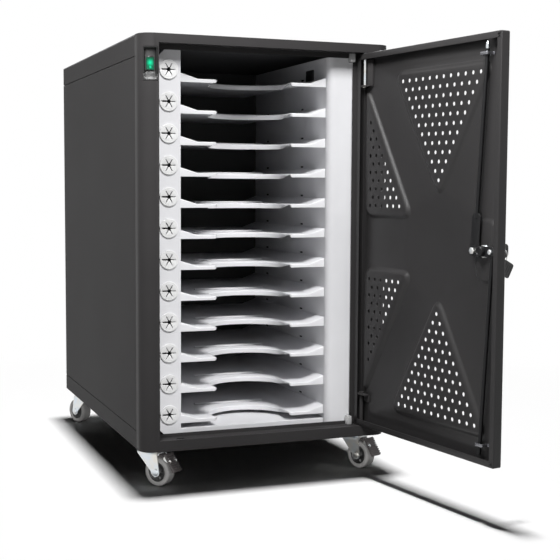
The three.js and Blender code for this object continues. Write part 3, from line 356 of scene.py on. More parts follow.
def eased_copy(node, ending, coat, bevel, join_flat=True):
    """A node's own solid with its triangles merged, flat faces joined if they hold no window, and edges rounded."""

    def work(solid):
        if join_flat:
            bmesh.ops.dissolve_limit(solid, angle_limit=math.radians(1), verts=solid.verts, edges=solid.edges)

    obj = welded(node + ending, frame["nodes"][node].data.copy(), work)
    return dress(settle(obj, bevel, 20.0), "cabinet", coat, [node])


# Materials
class Wire:
    """A node's output that takes part in Python arithmetic, one Math node for each operation."""

    def __init__(self, shade, socket):
        self.shade, self.socket = shade, socket

    def maths(self, operation, other, swap=False):
        a, b = (other, self) if swap else (self, other)
        return self.shade.node("ShaderNodeMath", {0: a, 1: b}, operation=operation)

    __add__, __radd__ = partialmethod(maths, "ADD"), partialmethod(maths, "ADD", swap=True)
    __sub__, __rsub__ = partialmethod(maths, "SUBTRACT"), partialmethod(maths, "SUBTRACT", swap=True)
    __mul__, __rmul__ = partialmethod(maths, "MULTIPLY"), partialmethod(maths, "MULTIPLY", swap=True)
    __truediv__, __rtruediv__ = partialmethod(maths, "DIVIDE"), partialmethod(maths, "DIVIDE", swap=True)
    __pow__, __rpow__ = partialmethod(maths, "POWER"), partialmethod(maths, "POWER", swap=True)


class Shade:
    """One material's or world's nodes."""

    def __init__(self, owner):
        owner.use_nodes = True
        self.owner, self.tree = owner, owner.node_tree
        self.tree.nodes.clear()

    def node(self, kind, inputs=None, output=0, **settings):
        """Any node: its settings first, then the values or wires of its sockets."""
        made = self.tree.nodes.new(kind)
        for name, value in settings.items():
            setattr(made, name, value)
        for key, value in (inputs or {}).items():
            if isinstance(value, Wire):
                self.tree.links.new(value.socket, made.inputs[key])
            else:
                made.inputs[key].default_value = value
        return Wire(self, made.outputs[output]) if len(made.outputs) else None

    def where(self):
        return self.node("ShaderNodeTexCoord", output="Object")

    def place(self, stretch=(1, 1, 1)):
        """Object coordinates, stretched."""
        return self.node("ShaderNodeMapping", {"Vector": self.where(), "Scale": stretch})

    def away(self, spot):
        """Distance from a spot."""
        ends = {0: self.where(), 1: spot}
        return self.node("ShaderNodeVectorMath", ends, output="Value", operation="DISTANCE")

    def noise(self, scale, detail=3.0, rough=0.55, stretch=(1, 1, 1)):
        inputs = {"Vector": self.place(stretch), "Scale": scale, "Detail": detail, "Roughness": rough}
        return self.node("ShaderNodeTexNoise", inputs)

    def between(self, value, low, high, to_low=0.0, to_high=1.0):
        return self.node("ShaderNodeMapRange", {0: value, 1: low, 2: high, 3: to_low, 4: to_high})

    def mix(self, share, a, b):
        return self.node("ShaderNodeMix", {0: share, 6: a, 7: b}, output=2, data_type="RGBA")

    def bump(self, height, strength, distance):
        return self.node("ShaderNodeBump", {"Height": height, "Strength": strength, "Distance": distance})

    def surface(self, **sockets):
        """A Principled shader whose sockets are given by name, with _ for a space."""
        made = {name.replace("_", " "): value for name, value in sockets.items()}
        shader = self.node("ShaderNodeBsdfPrincipled", made)
        self.node("ShaderNodeOutputMaterial", {"Surface": shader})
        return self.owner


def new_shade(name):
    return Shade(bpy.data.materials.new(name))


def rgba(colour, gain=1.0):
    return tuple(min(1.0, channel * gain) for channel in colour[:3]) + (1.0,)


def powder_coat(name, colour, rough, grain, wear, shine=0.4, under=None):
    """Baked powder: a fine pebbled skin, slow drifts of tone and roughness, and faint dusty wear. under gives the
    height of a face that is left in light primer."""
    s = new_shade(name)
    pebble = s.noise(grain, 2.0)
    drift = s.between(s.noise(5.0, 4.0), 0.3, 0.7)
    dust = s.between(s.noise(38.0, 6.0, 0.7), 0.52, 0.82)
    tone = s.mix(drift, rgba(colour, 0.93), rgba(colour, 1.07))
    tone = s.mix(dust * wear, tone, rgba(colour, 1.6))
    if under:
        height = s.node("ShaderNodeSeparateXYZ", {0: s.where()}, output="Z")
        bare = s.node("ShaderNodeMath", {0: height, 1: under, 2: 0.0004}, operation="COMPARE")
        tone = s.mix(bare, tone, s.mix(drift, (0.26, 0.26, 0.27, 1), (0.32, 0.32, 0.33, 1)))
    return s.surface(
        Base_Color=tone,
        Roughness=s.between(pebble, 0.3, 0.7, rough - 0.06, rough + 0.06) + drift * 0.05,
        Specular_IOR_Level=shine,
        Normal=s.bump(pebble, 0.28, 0.0004),
    )


def moulded(name, colour, rough, grain=900.0, depth=0.2):
    """Moulded plastic: spark-eroded grain with a slow change of tone and gloss."""
    s = new_shade(name)
    grains = s.noise(grain, 2.0)
    drift = s.between(s.noise(22.0, 3.0), 0.3, 0.7)
    return s.surface(
        Base_Color=s.mix(drift, rgba(colour, 0.92), rgba(colour, 1.08)),
        Roughness=s.between(drift, 0.0, 1.0, rough - 0.05, rough + 0.06),
        Normal=s.bump(grains, depth, 0.0002),
    )


def zinc_plate(name, colour, rough):
    """Bright zinc: cloudy crystals, fine drawn lines and a trace of blue and straw passivation."""
    s = new_shade(name)
    cloud = s.node("ShaderNodeTexVoronoi", {"Vector": s.place(), "Scale": 160.0}, output="Distance")
    lines = s.noise(1.0, 4.0, 0.6, (2500, 2500, 90))
    tint = s.between(s.noise(60.0, 2.0), 0.35, 0.65)
    red, green, blue = colour
    cool, warm = (red * 0.95, green, blue * 1.04), (red * 1.04, green, blue * 0.93)
    return s.surface(
        Base_Color=s.mix(tint, rgba(cool), rgba(warm)),
        Metallic=1.0,
        Roughness=rough + cloud * 0.10 + s.between(lines, 0.3, 0.7, -0.04, 0.06),
        Normal=s.bump(lines, 0.05, 0.0002),
    )


def black_steel(name, colour, rough, metal):
    """Blackened steel: an oily dark coat that is rubbed to bare metal in streaks along its length."""
    s = new_shade(name)
    streak = s.noise(1.0, 5.0, 0.6, (700, 700, 40))
    rubbed = s.between(streak, 0.62, 0.78)
    return s.surface(
        Base_Color=s.mix(rubbed * 0.4, rgba(colour), (0.10, 0.10, 0.105, 1)),
        Metallic=metal + rubbed * 0.4,
        Specular_IOR_Level=0.2,
        Roughness=s.between(streak, 0.2, 0.8, rough + 0.08, rough - 0.06),
        Normal=s.bump(streak, 0.08, 0.0002),
    )


def tyre_rubber(name, colour):
    """Grey tread rubber: a chalky bloom, dust in its pores and rolling scuffs."""
    s = new_shade(name)
    pores = s.noise(700.0, 3.0, 0.7)
    bloom = s.between(s.noise(55.0, 5.0, 0.65), 0.35, 0.7)
    scuff = s.between(s.noise(1.0, 4.0, 0.6, (260, 260, 900)), 0.58, 0.75)
    tone = s.mix(bloom, rgba(colour, 0.85), rgba(colour, 1.12))
    return s.surface(
        Base_Color=s.mix(scuff * 0.5, tone, rgba(colour, 0.6)),
        Roughness=s.between(bloom, 0.0, 1.0, 0.62, 0.8),
        Normal=s.bump(pores, 0.25, 0.0003),
    )


def lit_green(name, colour, node):
    """Clear green plastic with a lamp behind it: a wide bright patch over the lamp and a small one below it."""
    s = new_shade(name)
    low, high = node_box(node)
    x, z = (low[0] + high[0]) / 2, (low[2] + high[2]) / 2
    glow = 0.0
    for rise, reach, gain in ((1.5, 7.5, 1.0), (-5.8, 3.2, 0.9)):
        away = s.away((x * MM, low[1] * MM, (z + rise) * MM))
        glow = glow + gain * s.between(away, 0.0003, reach * MM, 1.0, 0.0) ** 1.6
    ripple = s.noise(420.0, 2.0)
    return s.surface(
        Base_Color=s.mix(glow, rgba(colour, 0.15), rgba(colour, 1.0)),
        Roughness=s.between(ripple, 0.3, 0.7, 0.14, 0.24),
        Emission_Color=s.mix(glow, rgba(colour, 0.04), rgba(colour, 1.5)),
        Emission_Strength=0.6,
        Specular_IOR_Level=0.25,
        Normal=s.bump(ripple, 0.06, 0.0002),
    )


FINISHES = {}
SLOTS = {
    **dict.fromkeys(("charcoal", "door", "frame", "cover", "bumper"), "charcoal_coat"),
    **dict.fromkeys(("zinc", "polished", "guide"), "bright_zinc"),
    **dict.fromkeys(("hub_plastic", "tyre"), "grey_tyre"),
    **{name: name for name in ("black_plastic", "white_plastic", "pedal_plastic")},
    "white": "white_coat",
    "green": "green_plastic",
    "rod": "dark_steel",
}


def finishes():
    """The cart's materials, made once from the colours in the panel."""
    if not FINISHES:
        c = bpy.context.scene.cart_colours
        dark, painted_door_shade = [0.9 * v for v in c.charcoal], [0.55 * v for v in c.charcoal]
        underside = COVER_UNDERSIDE * MM
        FINISHES.update(
            charcoal=powder_coat("charcoal_powder_coat", c.charcoal, 0.42, 1500.0, 0.10, 0.015),
            # The door's coat is the charcoal coat at 0.55 of its colour: painted shade, darker than the cabinet's own
            # charcoal.
            door=powder_coat("charcoal_coat_with_painted_door_shade", painted_door_shade, 0.35, 1500.0, 0.10, 0.26),
            # The front frame's coat is the charcoal coat at 0.9 of its colour: painted shade, darker than the cabinet's
            # own charcoal.
            frame=powder_coat("charcoal_coat_with_painted_frame_shade", dark, 0.36, 1500.0, 0.10, 0.05),
            cover=powder_coat("charcoal_cover_coat", c.charcoal, 0.42, 1500.0, 0.10, 0.015, underside),
            white=powder_coat("white_powder_coat", c.white, 0.42, 1300.0, 0.0),
            black=powder_coat("black_powder_coat", [6 * v for v in c.black], 0.55, 1400.0, 0.05),
            black_plastic=moulded("black_moulding", c.black, 0.42),
            white_plastic=moulded("white_moulding", c.white_moulding, 0.38),
            hub_plastic=moulded("hub_moulding", c.black, 0.5, 500.0, 0.3),
            pedal_plastic=moulded("pedal_moulding", c.pedal, 0.55, 600.0, 0.35),
            bumper=moulded("bumper_rubber", c.bumper, 0.6, 700.0, 0.3),
            zinc=zinc_plate("bright_zinc", c.zinc, 0.34),
            polished=zinc_plate("polished_pin_steel", c.zinc, 0.14),
            rod=black_steel("blackened_steel", c.rod, 0.38, 0.0),
            guide=black_steel("oiled_guide_steel", [30 * v for v in c.rod], 0.25, 0.8),
            tyre=tyre_rubber("grey_tread_rubber", c.tyre),
            green=lit_green("lit_green_plastic", c.green, "power_rocker"),
        )
    return FINISHES


def scene_colour(text, *rgb):
    about = "Linear colour of the " + text.lower()
    return FloatVectorProperty(name=text, description=about, subtype="COLOR", size=3, default=rgb, min=0, max=1)


def scene_length(text, millimetres, about):
    return FloatProperty(
        name=text, description=about, default=millimetres * MM, unit="LENGTH", subtype="DISTANCE"
    )


class CartColours(bpy.types.PropertyGroup):
    """Colours of the cart's finishes."""

    charcoal: scene_colour("Charcoal coat", 0.036, 0.0345, 0.035)
    white: scene_colour("White coat", 0.78, 0.78, 0.80)
    black: scene_colour("Black parts", 0.012, 0.012, 0.012)
    white_moulding: scene_colour("Cable grommets", 0.80, 0.80, 0.80)
    pedal: scene_colour("Brake pedals", 0.062, 0.055, 0.055)
    bumper: scene_colour("Door bumpers", 0.42, 0.42, 0.42)
    zinc: scene_colour("Zinc plate", 0.72, 0.73, 0.74)
    rod: scene_colour("Lock rods", 0.007, 0.007, 0.0075)
    tyre: scene_colour("Tyres", 0.27, 0.265, 0.26)
    green: scene_colour("Power rocker", 0.002, 0.42, 0.20)


class CartSizes(bpy.types.PropertyGroup):
    """Sizes of what is drawn over the solids."""

    edge: scene_length("Panel edge", 0.9, "Radius of the steel panels' edges")
    emboss: scene_length("Emboss", 4.8, "Height of the pressed triangles in the door")
    slope: scene_length("Emboss slope", 9.5, "Width of the sloping border round a pressed triangle")
    vent: scene_length("Vent hole", 7.0, "Diameter of a vent hole in the door")
    rib: scene_length("Shelf rib", 1.6, "Height of the pressed rib across a shelf")
    ring: scene_length("Key ring", 19.0, "Diameter of the wire key ring")
    hole_sides: IntProperty(name="Hole sides", description="Sides of a vent hole", default=14, min=6, max=32)


def size(name):
    """One of the panel's lengths, in millimetres."""
    return getattr(bpy.context.scene.cart_sizes, name) / MM


# The stage, in metres and degrees: lens in millimetres, and for each lamp its place, target, watts and width
LENS, CAMERA_AT, TURN_PITCH_ROLL = 74.3, (-0.6959, -2.1699, 0.5154), (21.22, 4.70, 0.31)
LAMPS = {
    "overhead_light": ((0.0, 0.0, 9.0), (0.0, 0.0, 0.0), 860.0, 0.45),
    "front_softbox": ((-0.45, -0.95, 1.45), (0.0, -0.33, 0.55), 38.0, 0.6),
    "rear_softbox": ((1.30, 1.90, 1.90), (0.05, 0.10, 0.40), 60.0, 2.0),
    "caster_light": ((-0.75, -1.90, 0.45), (0.0, -0.30, 0.05), 22.0, 0.5),
    "bay_light": ((0.10, -2.24, 2.81), (0.0, -0.30, 0.42), 116.0, 0.95),
}
WHITE = (1.0, 1.0, 1.0)
FLOOR_MIDDLE, FLOOR_NEAR, FLOOR_FAR = (0.05, -0.2, 0), 0.85, 1.5
# The floor's half width and height, in millimetres
FLOOR_HALF, FLOOR_Z = 9e3, -0.4


# Operators
CASTERS_LIT, BAYS_LIT = "casters_lit_from_the_front", "bays_lit_from_the_front"


def add_to(group, pieces):
    """Puts pieces among those that a lamp of their own lights."""
    for obj in pieces:
        bpy.data.collections[group].objects.link(obj)


class CART_OT_stage(bpy.types.Operator):
    """Sets up the camera, the lamps, the white floor and the white surround"""

    bl_idname = "cart.stage"
    bl_label = "Stage"

    def execute(self, context):
        scene = context.scene
        scene.view_settings.view_transform = "Standard"
        self.camera(scene)
        for name, lamp in LAMPS.items():
            self.lamp(name, *lamp)
        for name, group in (("caster_light", CASTERS_LIT), ("bay_light", BAYS_LIT)):
            bpy.data.objects[name].light_linking.receiver_collection = bpy.data.collections.new(group)

        world = Shade(scene.world or bpy.data.worlds.new("surround"))
        scene.world = world.owner
        strength = 0.004 + 0.996 * self.seen_directly(world)
        back = world.node("ShaderNodeBackground", {"Color": rgba(WHITE), "Strength": strength})
        world.node("ShaderNodeOutputWorld", {"Surface": back})

        unlit = bpy.data.collections.new("not_lit_by_softboxes")
        unlit.objects.link(self.floor())
        unlit.children.link(bpy.data.collections[BAYS_LIT])
        for member in (unlit.collection_objects[0], unlit.collection_children[0]):
            member.light_linking.link_state = "EXCLUDE"
        for name in ("front_softbox", "rear_softbox"):
            bpy.data.objects[name].light_linking.receiver_collection = unlit
        return {"FINISHED"}

    def camera(self, scene):
        """A camera whose axes are worked out from its turn, pitch and roll."""
        camera = new_object("camera", bpy.data.cameras.new("camera"))
        scene.camera = camera
        camera.data.sensor_width, camera.data.lens, camera.data.clip_end = 36.0, LENS, 50.0
        turn, pitch, roll = (math.radians(angle) for angle in TURN_PITCH_ROLL)
        ahead = Vector((math.sin(turn) * math.cos(pitch), math.cos(turn) * math.cos(pitch), -math.sin(pitch)))
        level = Vector((math.cos(turn), -math.sin(turn), 0))
        upright = level.cross(ahead)
        right = math.cos(roll) * level + math.sin(roll) * upright
        up = -math.sin(roll) * level + math.cos(roll) * upright
        rows = Matrix((right, up, -ahead)).transposed().to_4x4()
        rows.translation = CAMERA_AT
        camera.matrix_world = rows

    def floor(self):
        """A white floor that takes shadows round the cart and is plain white farther off."""
        ends = (-FLOOR_HALF, FLOOR_HALF)
        sheet = Shape().grid([[(x, y, FLOOR_Z) for x in ends] for y in ends])
        obj = new_object("floor", new_mesh("floor", sheet))
        s = new_shade("studio_floor")
        direct = self.seen_directly(s)
        lit = s.mix(direct, rgba(WHITE, 0.45), rgba(WHITE, 0.93))
        plain = s.mix(direct, rgba(WHITE, 0.6), rgba(WHITE))
        near = s.node("ShaderNodeBsdfDiffuse", {"Color": lit})
        far = s.node("ShaderNodeEmission", {"Color": plain, "Strength": 1.0})
        share = s.between(s.away(FLOOR_MIDDLE), FLOOR_NEAR, FLOOR_FAR)
        mixed = s.node("ShaderNodeMixShader", {0: share, 1: near, 2: far})
        s.node("ShaderNodeOutputMaterial", {"Surface": mixed})
        obj.data.materials.append(s.owner)
        return obj

    def seen_directly(self, shade):
        """One for what the camera sees, also in a reflection or through glass, and nought for light thrown back."""
        path = shade.node("ShaderNodeLightPath")
        rays = ("Is Camera Ray", "Is Glossy Ray", "Is Transmission Ray")
        camera, glossy, through = (Wire(shade, path.socket.node.outputs[ray]) for ray in rays)
        return shade.node("ShaderNodeMath", {0: camera + glossy + through, 1: 1.0}, operation="MINIMUM")

    def lamp(self, name, place, target, watts, width):
        data = bpy.data.lights.new(name, "AREA")
        data.energy, data.shape, data.size = watts, "SQUARE", width
        obj = new_object(name, data)
        obj.location = place
        obj.rotation_euler = (Vector(target) - Vector(place)).to_track_quat("-Z", "Y").to_euler()


class CART_OT_panels(bpy.types.Operator):
    """Dresses the steel cabinet: frame, covers, sides and back, with bumpers and screws"""

    bl_idname = "cart.panels"
    bl_label = "Steel panels"

    def execute(self, context):
        for node, coat, whole in (
            ("front_frame", "frame", False),
            ("top_cover", "cover", True),
            ("base_pan", "charcoal", True),
            ("left_side_panel", "charcoal", True),
            ("right_side_panel", "charcoal", True),
        ):
            eased_copy(node, "_coat", coat, size("edge"), whole)
        eased_copy("rear_panel", "_coat", "charcoal", 0, False)
        low, high = node_box("front_frame")
        for name, z in (("upper", high[2] - 30), ("lower", low[2] + 18.5)):
            pad = Shape().box((155.7, -313.4, z - 0.2), (164.4, -301.5, z + 15.2), 1.5)
            piece(name + "_door_bumper", pad, "cabinet", "bumper")
        self.rear_screws()
        return {"FINISHED"}

    def rear_screws(self):
        """Pan-head screws round the rear panel: domes r = R cos t, h = H sin t."""
        low, high = node_box("rear_panel")
        t = np.linspace(0, np.pi / 2, 7)
        dome = pairs(4.2 * np.cos(t), high[1] - 0.3 + 2.2 * np.sin(t))
        heads = Shape()
        for x in (low[0] + 8, 0, high[0] - 8):
            for z in (low[2] + 8, (low[2] + high[2]) / 2, high[2] - 8):
                heads.lathe(dome, "y", 18, (x, 0, z))
        piece("rear_panel_screws", heads, "cabinet", "zinc")


class CART_OT_bays(bpy.types.Operator):
    """Dresses the white inside: walls, bay floor and the twelve shelves"""

    bl_idname = "cart.bays"
    bl_label = "Laptop bays"

    def execute(self, context):
        walls = ("left_inner_wall", "right_inner_wall", "bay_floor")
        made = [eased_copy(node, "_coat", "white", 0.4) for node in walls]
        wall = node_box("right_inner_wall")[0][0]
        port = Shape().slab(round_box(-236, -200, 696, 722, 3, 4), wall - 1.4, wall + 0.1, "x", 0.5)
        port.slab(round_box(-231, -205, 701, 717, 2, 3), wall - 2.2, wall - 1.2, "x", 0.4)
        made.append(piece("wall_port_plate", port, "cabinet", "black_plastic"))
        divider = frame["nodes"]["rear_divider"].data.materials
        divider.clear()
        divider.append(finishes()["black"])
        for number in BAYS:
            node = f"shelf_{number:02d}"
            shape = self.shelf(*node_box(node))
            made.append(piece(node + "_pressing", shape, "cabinet", "white", [node], sheet=1.5, crease=50))
        add_to(BAYS_LIT, made)
        return {"FINISHED"}

    def shelf(self, low, high):
        """A pressed shelf: the front edge, with its finger cut-out, is a path. The deck is ruled from that path to
        the back edge, and the lip is a quarter bend and a drop carried along it."""
        left, right, front, back = low[0], high[0], low[1], high[1]
        deck, bend = low[2] + 11.0, 2.0
        flat_from, flat_to, hill = left + 33, right - 28, 10
        half, rise, side = 67.5, 45.0, 47.0
        middle = left + 66.5 + half
        cut = [middle - half, middle + half]
        radius = (half**2 + rise**2) / (2 * rise)
        swing = np.linspace(-1, 1, 25) * math.asin(half / radius)
        arc = pairs(middle + radius * np.sin(swing), front + side + rise - radius + radius * np.cos(swing))
        start = rounded([[cut[0] - 12, front], [cut[0], front], arc[0]], 5, 4)[:-1]
        end = rounded([arc[-1], [cut[1], front], [cut[1] + 12, front]], 5, 4)[1:]
        edge = [[left, front], [flat_from, front], *start, *arc, *end, [flat_to, front], [right, front]]
        edge = np.array(edge)
        ahead = unit(np.gradient(edge, axis=0))
        out = pairs(ahead[:, 1], -ahead[:, 0])
        hem = edge - out * bend
        hem[[0, -1], 0] = left, right
        far_x = np.concatenate([[left], np.linspace(flat_from, flat_to, len(edge) - 2), [right]])

        def height(x):
            slopes = np.maximum((flat_from - x) / (flat_from - left), (x - flat_to) / (right - flat_to))
            return deck + hill * np.clip(slopes, 0, 1)

        rows = np.linspace(0, 1, 5)[:, None, None]
        flat = hem * (1 - rows) + pairs(far_x, back) * rows
        shape = Shape().grid(spread(flat, height(flat[..., 0]), "z"))
        turn = np.linspace(0, np.pi / 2, 5)[:, None]
        lip = hem + out * (bend * np.sin(turn))[..., None]
        drop = height(hem[:, 0]) - bend * (1 - np.cos(turn))
        depth = edge[:, 1] - front
        corner = smooth((depth - 0.5) / 3) * (1 - smooth((depth - 8) / 36))
        foot = deck - 6 - 2.5 * smooth((depth - 2) / 6) + 5.6 * corner
        lip, drop = np.concatenate([lip, lip[-1:]]), np.concatenate([drop, foot[None]])
        shape.grid(spread(lip, drop, "z")[::-1])
        arch = np.linspace(0, np.pi, 7)
        ridge = pairs([[middle - 70], [middle + 60]], front + 125 + 3 * np.cos(arch))
        return shape.grid(spread(ridge, deck + 0.05 + size("rib") * np.sin(arch), "z")[::-1])


class CART_OT_grommets(bpy.types.Operator):
    """Makes the white slit cable grommets of the left strip"""

    bl_idname = "cart.grommets"
    bl_label = "Cable grommets"

    def execute(self, context):
        bead = np.linspace(0, 2 * np.pi, 9)
        for number in BAYS:
            node = f"cable_grommet_{number:02d}"
            low, high = node_box(node)
            centre = (low[0] + 16, 0, (low[2] + high[2]) / 2)
            shape = Shape().slab(self.star() + centre[::2], low[1] + 0.3, low[1] + 2.0, "y", 0.25, 2)
            shape.lathe(pairs(14.6 + 1.2 * np.cos(bead), low[1] + 0.9 + 0.9 * np.sin(bead)), "y", 40, centre)
            start, end = low[1] + 1.9, high[1]
            neck = [[12.9, start], [12.9, end], [11.4, end], [11.4, start], [12.9, start]]
            shape.lathe(neck, "y", 32, centre)
            add_to(BAYS_LIT, [piece(node + "_moulding", shape, "cabinet", "white_plastic", [node])])
        return {"FINISHED"}

    def star(self):
        """One outline: round the rim, in along the wide slot, and out and back along five narrow slits."""
        rim = np.linspace(-np.pi + 0.085, np.pi - 0.085, 41)
        outline = [*(16 * pairs(np.cos(rim), np.sin(rim))), [-3.0, 1.3]]
        for turn in np.pi - np.arange(1, 6) * np.pi / 3:
            along, across = np.array([[np.cos(turn), np.sin(turn)], [-np.sin(turn), np.cos(turn)]])
            for a, b in ((3.0, 0.8), (11.2, 0.6), (11.2, -0.6), (3.0, -0.8)):
                outline.append(a * along + b * across)
        return np.array([*outline, [-3.0, -1.3]])


class CART_OT_switch(bpy.types.Operator):
    """Makes the scooped switch recess and its lit rocker"""

    bl_idname = "cart.switch"
    bl_label = "Power switch"

    def execute(self, context):
        low, high = node_box("switch_bezel")
        middle = (low[0] + high[0]) / 2
        x = ((-SWITCH_HALF, -7.3, 12), (-6.8, 6.8, 9), (7.3, SWITCH_HALF, 12))
        z = ((-SWITCH_REACH, -11.2, 24), (-10.4, 10.4, 13), (11.2, 22, 8), (22.4, SWITCH_REACH, 9))
        across, up = np.meshgrid(*(np.concatenate([np.linspace(*run) for run in runs]) for runs in (x, z)))
        hole = (np.abs(across) < 7.0) & (np.abs(up) < 10.8)
        depth = np.where(hole, -319.8, self.scoop(middle, across, up))
        shape = Shape().grid(np.stack([middle + across, depth, SWITCH_Z + up], -1))
        piece("switch_scoop", shape, "cabinet", "black_plastic", ["switch_bezel"], sheet=1.2, flip=True)
        # A thin white sheet just over the black scoop's lower slope: painted light, standing for the light that falls
        # on that slope.
        up = np.broadcast_to(np.linspace(-26.4, -12.4, 15)[:, None], (15, 17))
        across = np.linspace(-1, 1, 17) * (self.half_width(up) - 1.6)
        ramp = np.stack([middle + across, self.scoop(middle, across, up) - 0.3, SWITCH_Z + up], -1)
        piece("switch_ramp", Shape().grid(ramp), "cabinet", "white_plastic", sheet=0.5, flip=True)

        low, high = node_box("power_rocker")
        arch = np.linspace(-1, 1, 13)
        front = pairs(low[1] + 0.2 + 1.4 * (1 - np.abs(arch) ** 1.6), 9.9 * arch)
        outline = np.concatenate([front, pairs(high[1] - 0.2, [8.4, -8.4])])[::-1] + [0, SWITCH_Z]
        rocker = Shape().slab(outline, low[0] - 1.2, high[0] + 1.2, "x", 0.8)
        piece("power_rocker_cap", rocker, "rocker", "green", ["power_rocker"])
        return {"FINISHED"}

    def half_width(self, up):
        """Half the recess's width: constant, then w (1 - q^3)^(1/3) towards its rounded lower end."""
        low = np.clip((-13 - up) / (SWITCH_REACH - 13), 0, 1)
        return SWITCH_HALF * (1 - low**3) ** (1 / 3)

    def scoop(self, middle, across, up):
        """Depth of the recess behind the rounded column: smooth steps in from its sides, its top and its long ramp."""
        corner = np.clip(COLUMN_X - (middle + across), 0, COLUMN_ROUND - 0.1)
        face = COLUMN_Y + COLUMN_ROUND - np.sqrt(COLUMN_ROUND**2 - corner**2) + 0.6
        sides = smooth((self.half_width(up) - np.abs(across)) / 1.8)
        ends = smooth((SWITCH_REACH - up) / 4) * smooth((up + SWITCH_REACH) / 15)
        return face + SWITCH_DEPTH * sides * ends


class CART_OT_door(bpy.types.Operator):
    """Makes the folded door with its pressed triangles, vent holes, hinge pins and brackets"""

    bl_idname = "cart.door"
    bl_label = "Vented door"

    def execute(self, context):
        shape = self.pan(context.scene.cart_sizes.hole_sides).moved(on_door)
        piece("door_pressing", shape, "door", "door", ["door_panel"], sheet=1.2, crease=55)
        self.hinges()
        return {"FINISHED"}

    def triangles(self):
        """Pressed areas, each an outline, a height and the width of its slope: four triangles round the vent holes,
        the lock's boss and the whole middle of the door."""
        (x, z), across, up = PEAK, (PEAK_ROWS - 1) / 2 * PEAK_PITCH[0], (PEAK_ROWS - 1) * PEAK_PITCH[1]
        peak = np.array([[x - across, z + up], [x, z], [x + across, z + up]])
        (x, z), across, up = WING, (WING_ROWS - 1) / 2 * WING_PITCH[0], (WING_ROWS - 1) * WING_PITCH[1]
        wing = np.array([[x, z], [x, z + up], [x - across, z]])
        emboss, pads = size("emboss"), []
        for sign in (1, -1):
            for holes, height, border in ((peak, emboss, 14.5), (wing, emboss + 1.2, 18.0)):
                outline = drawn_in((holes * [1, sign])[::sign], -border)
                pads.append((outline, 26, height, size("slope")))
        pads.append((rectangle(LOCK_X - 25, LOCK_X + 25, -47, 47), 24, 3.7, 9))
        pads.append((rectangle(FREE_EDGE + 21, HINGE_EDGE - 14, 21 - DOOR_HALF, DOOR_HALF - 21), 30, 2.0, 16))
        return [(rounded(points, radius, 8, True), height, slope) for points, radius, height, slope in pads]

    def vents(self):
        """Middles of the vent holes: row i of a triangle holds i + 1 holes, or half as many beside the hinge."""
        row, column = np.tril_indices(PEAK_ROWS)
        peak = pairs(column - row / 2, row) * PEAK_PITCH + PEAK
        row, column = np.tril_indices(WING_ROWS)
        wing = (pairs(column - row / 2, WING_ROWS - 1 - row) * WING_PITCH + WING)[column <= row / 2]
        return np.concatenate([holes * [1, sign] for sign in (1, -1) for holes in (peak, wing)])

    def pan(self, sides):
        """The skin is a height field, the sum of each pad's height times a smooth step of the signed distance to its
        outline. The folded edge is a bend, a wall and a turned-in lip carried round the skin."""
        bend, lip, exit_half, hole = 2.2, 1.5, 6.0, size("vent") / 2
        pads = self.triangles()
        border = round_box(FREE_EDGE + bend, HINGE_EDGE - bend, bend - DOOR_HALF, DOOR_HALF - bend, 0.8, 2)
        for sign in (1, -1):
            for dx in (-exit_half, exit_half):
                border = self.with_point(border, [LOCK_X + sign * GUIDE_X + dx, sign * (DOOR_HALF - bend)])
        centres = self.vents()
        contours = [drawn_in(outline, d * w) for outline, _, w in pads for d in np.linspace(-0.5, 0.5, 6)]
        holes = [circle(hole, sides) + centre for centre in centres]

        def inside(points):
            clear = np.linalg.norm(points[:, None] - centres, axis=-1).min(1) > 0.9 * hole
            clear &= np.linalg.norm(points - [LOCK_X, 0], axis=1) > 9.8
            return clear & (distance_inside(points, border) > 0)

        flat, triangles = filled([border, circle(10.0, 24, (LOCK_X, 0)), *contours, *holes], inside)
        heights = [h * smooth(distance_inside(flat, outline) / w + 0.5) for outline, h, w in pads]
        shape = Shape().add(spread(flat, SKIN + np.sum(heights, 0), "y") + [0, 0, DOOR_MIDDLE], triangles)
        turn = np.linspace(0, np.pi / 2, 5)
        rim = SKIN + DOOR_DEPTH
        out = np.concatenate([bend * np.sin(turn), [bend] * 4, bend - lip * (1 - np.cos(turn)), [bend - 10]])
        wall = [-2.0, 2.2, 6.3, rim - lip]
        up = np.concatenate([SKIN + bend * (1 - np.cos(turn)), wall, rim - lip + lip * np.sin(turn), [rim]])
        rows = np.stack([spread(drawn_in(border, -o), u, "y") for o, u in zip(out, up)]) + [0, 0, DOOR_MIDDLE]
        keep = np.ones((len(rows) - 1, len(border)), bool)
        on_edge = np.abs(np.abs(border[:, 1]) - DOOR_HALF + bend) < 0.01
        off_guide = np.abs(border[:, 0] - LOCK_X - GUIDE_X * np.sign(border[:, 1]))
        on_exit = on_edge & (off_guide < exit_half + 0.01)
        keep[5:7] = ~(on_exit & np.roll(on_exit, -1))
        return shape.grid(rows[:, ::-1], (False, True), keep[:, np.roll(np.arange(len(border))[::-1], -1)])

    def with_point(self, loop, point):
        """A closed loop with one more point on a straight run, put in after the corner that it follows."""
        along = np.roll(loop, -1, 0) - loop
        share = ((point - loop) * along).sum(1) / np.maximum((along**2).sum(1), 1e-12)
        gap = np.linalg.norm(loop + np.clip(share, 0, 1)[:, None] * along - point, axis=1)
        return np.insert(loop, int(gap.argmin()) + 1, point, 0)

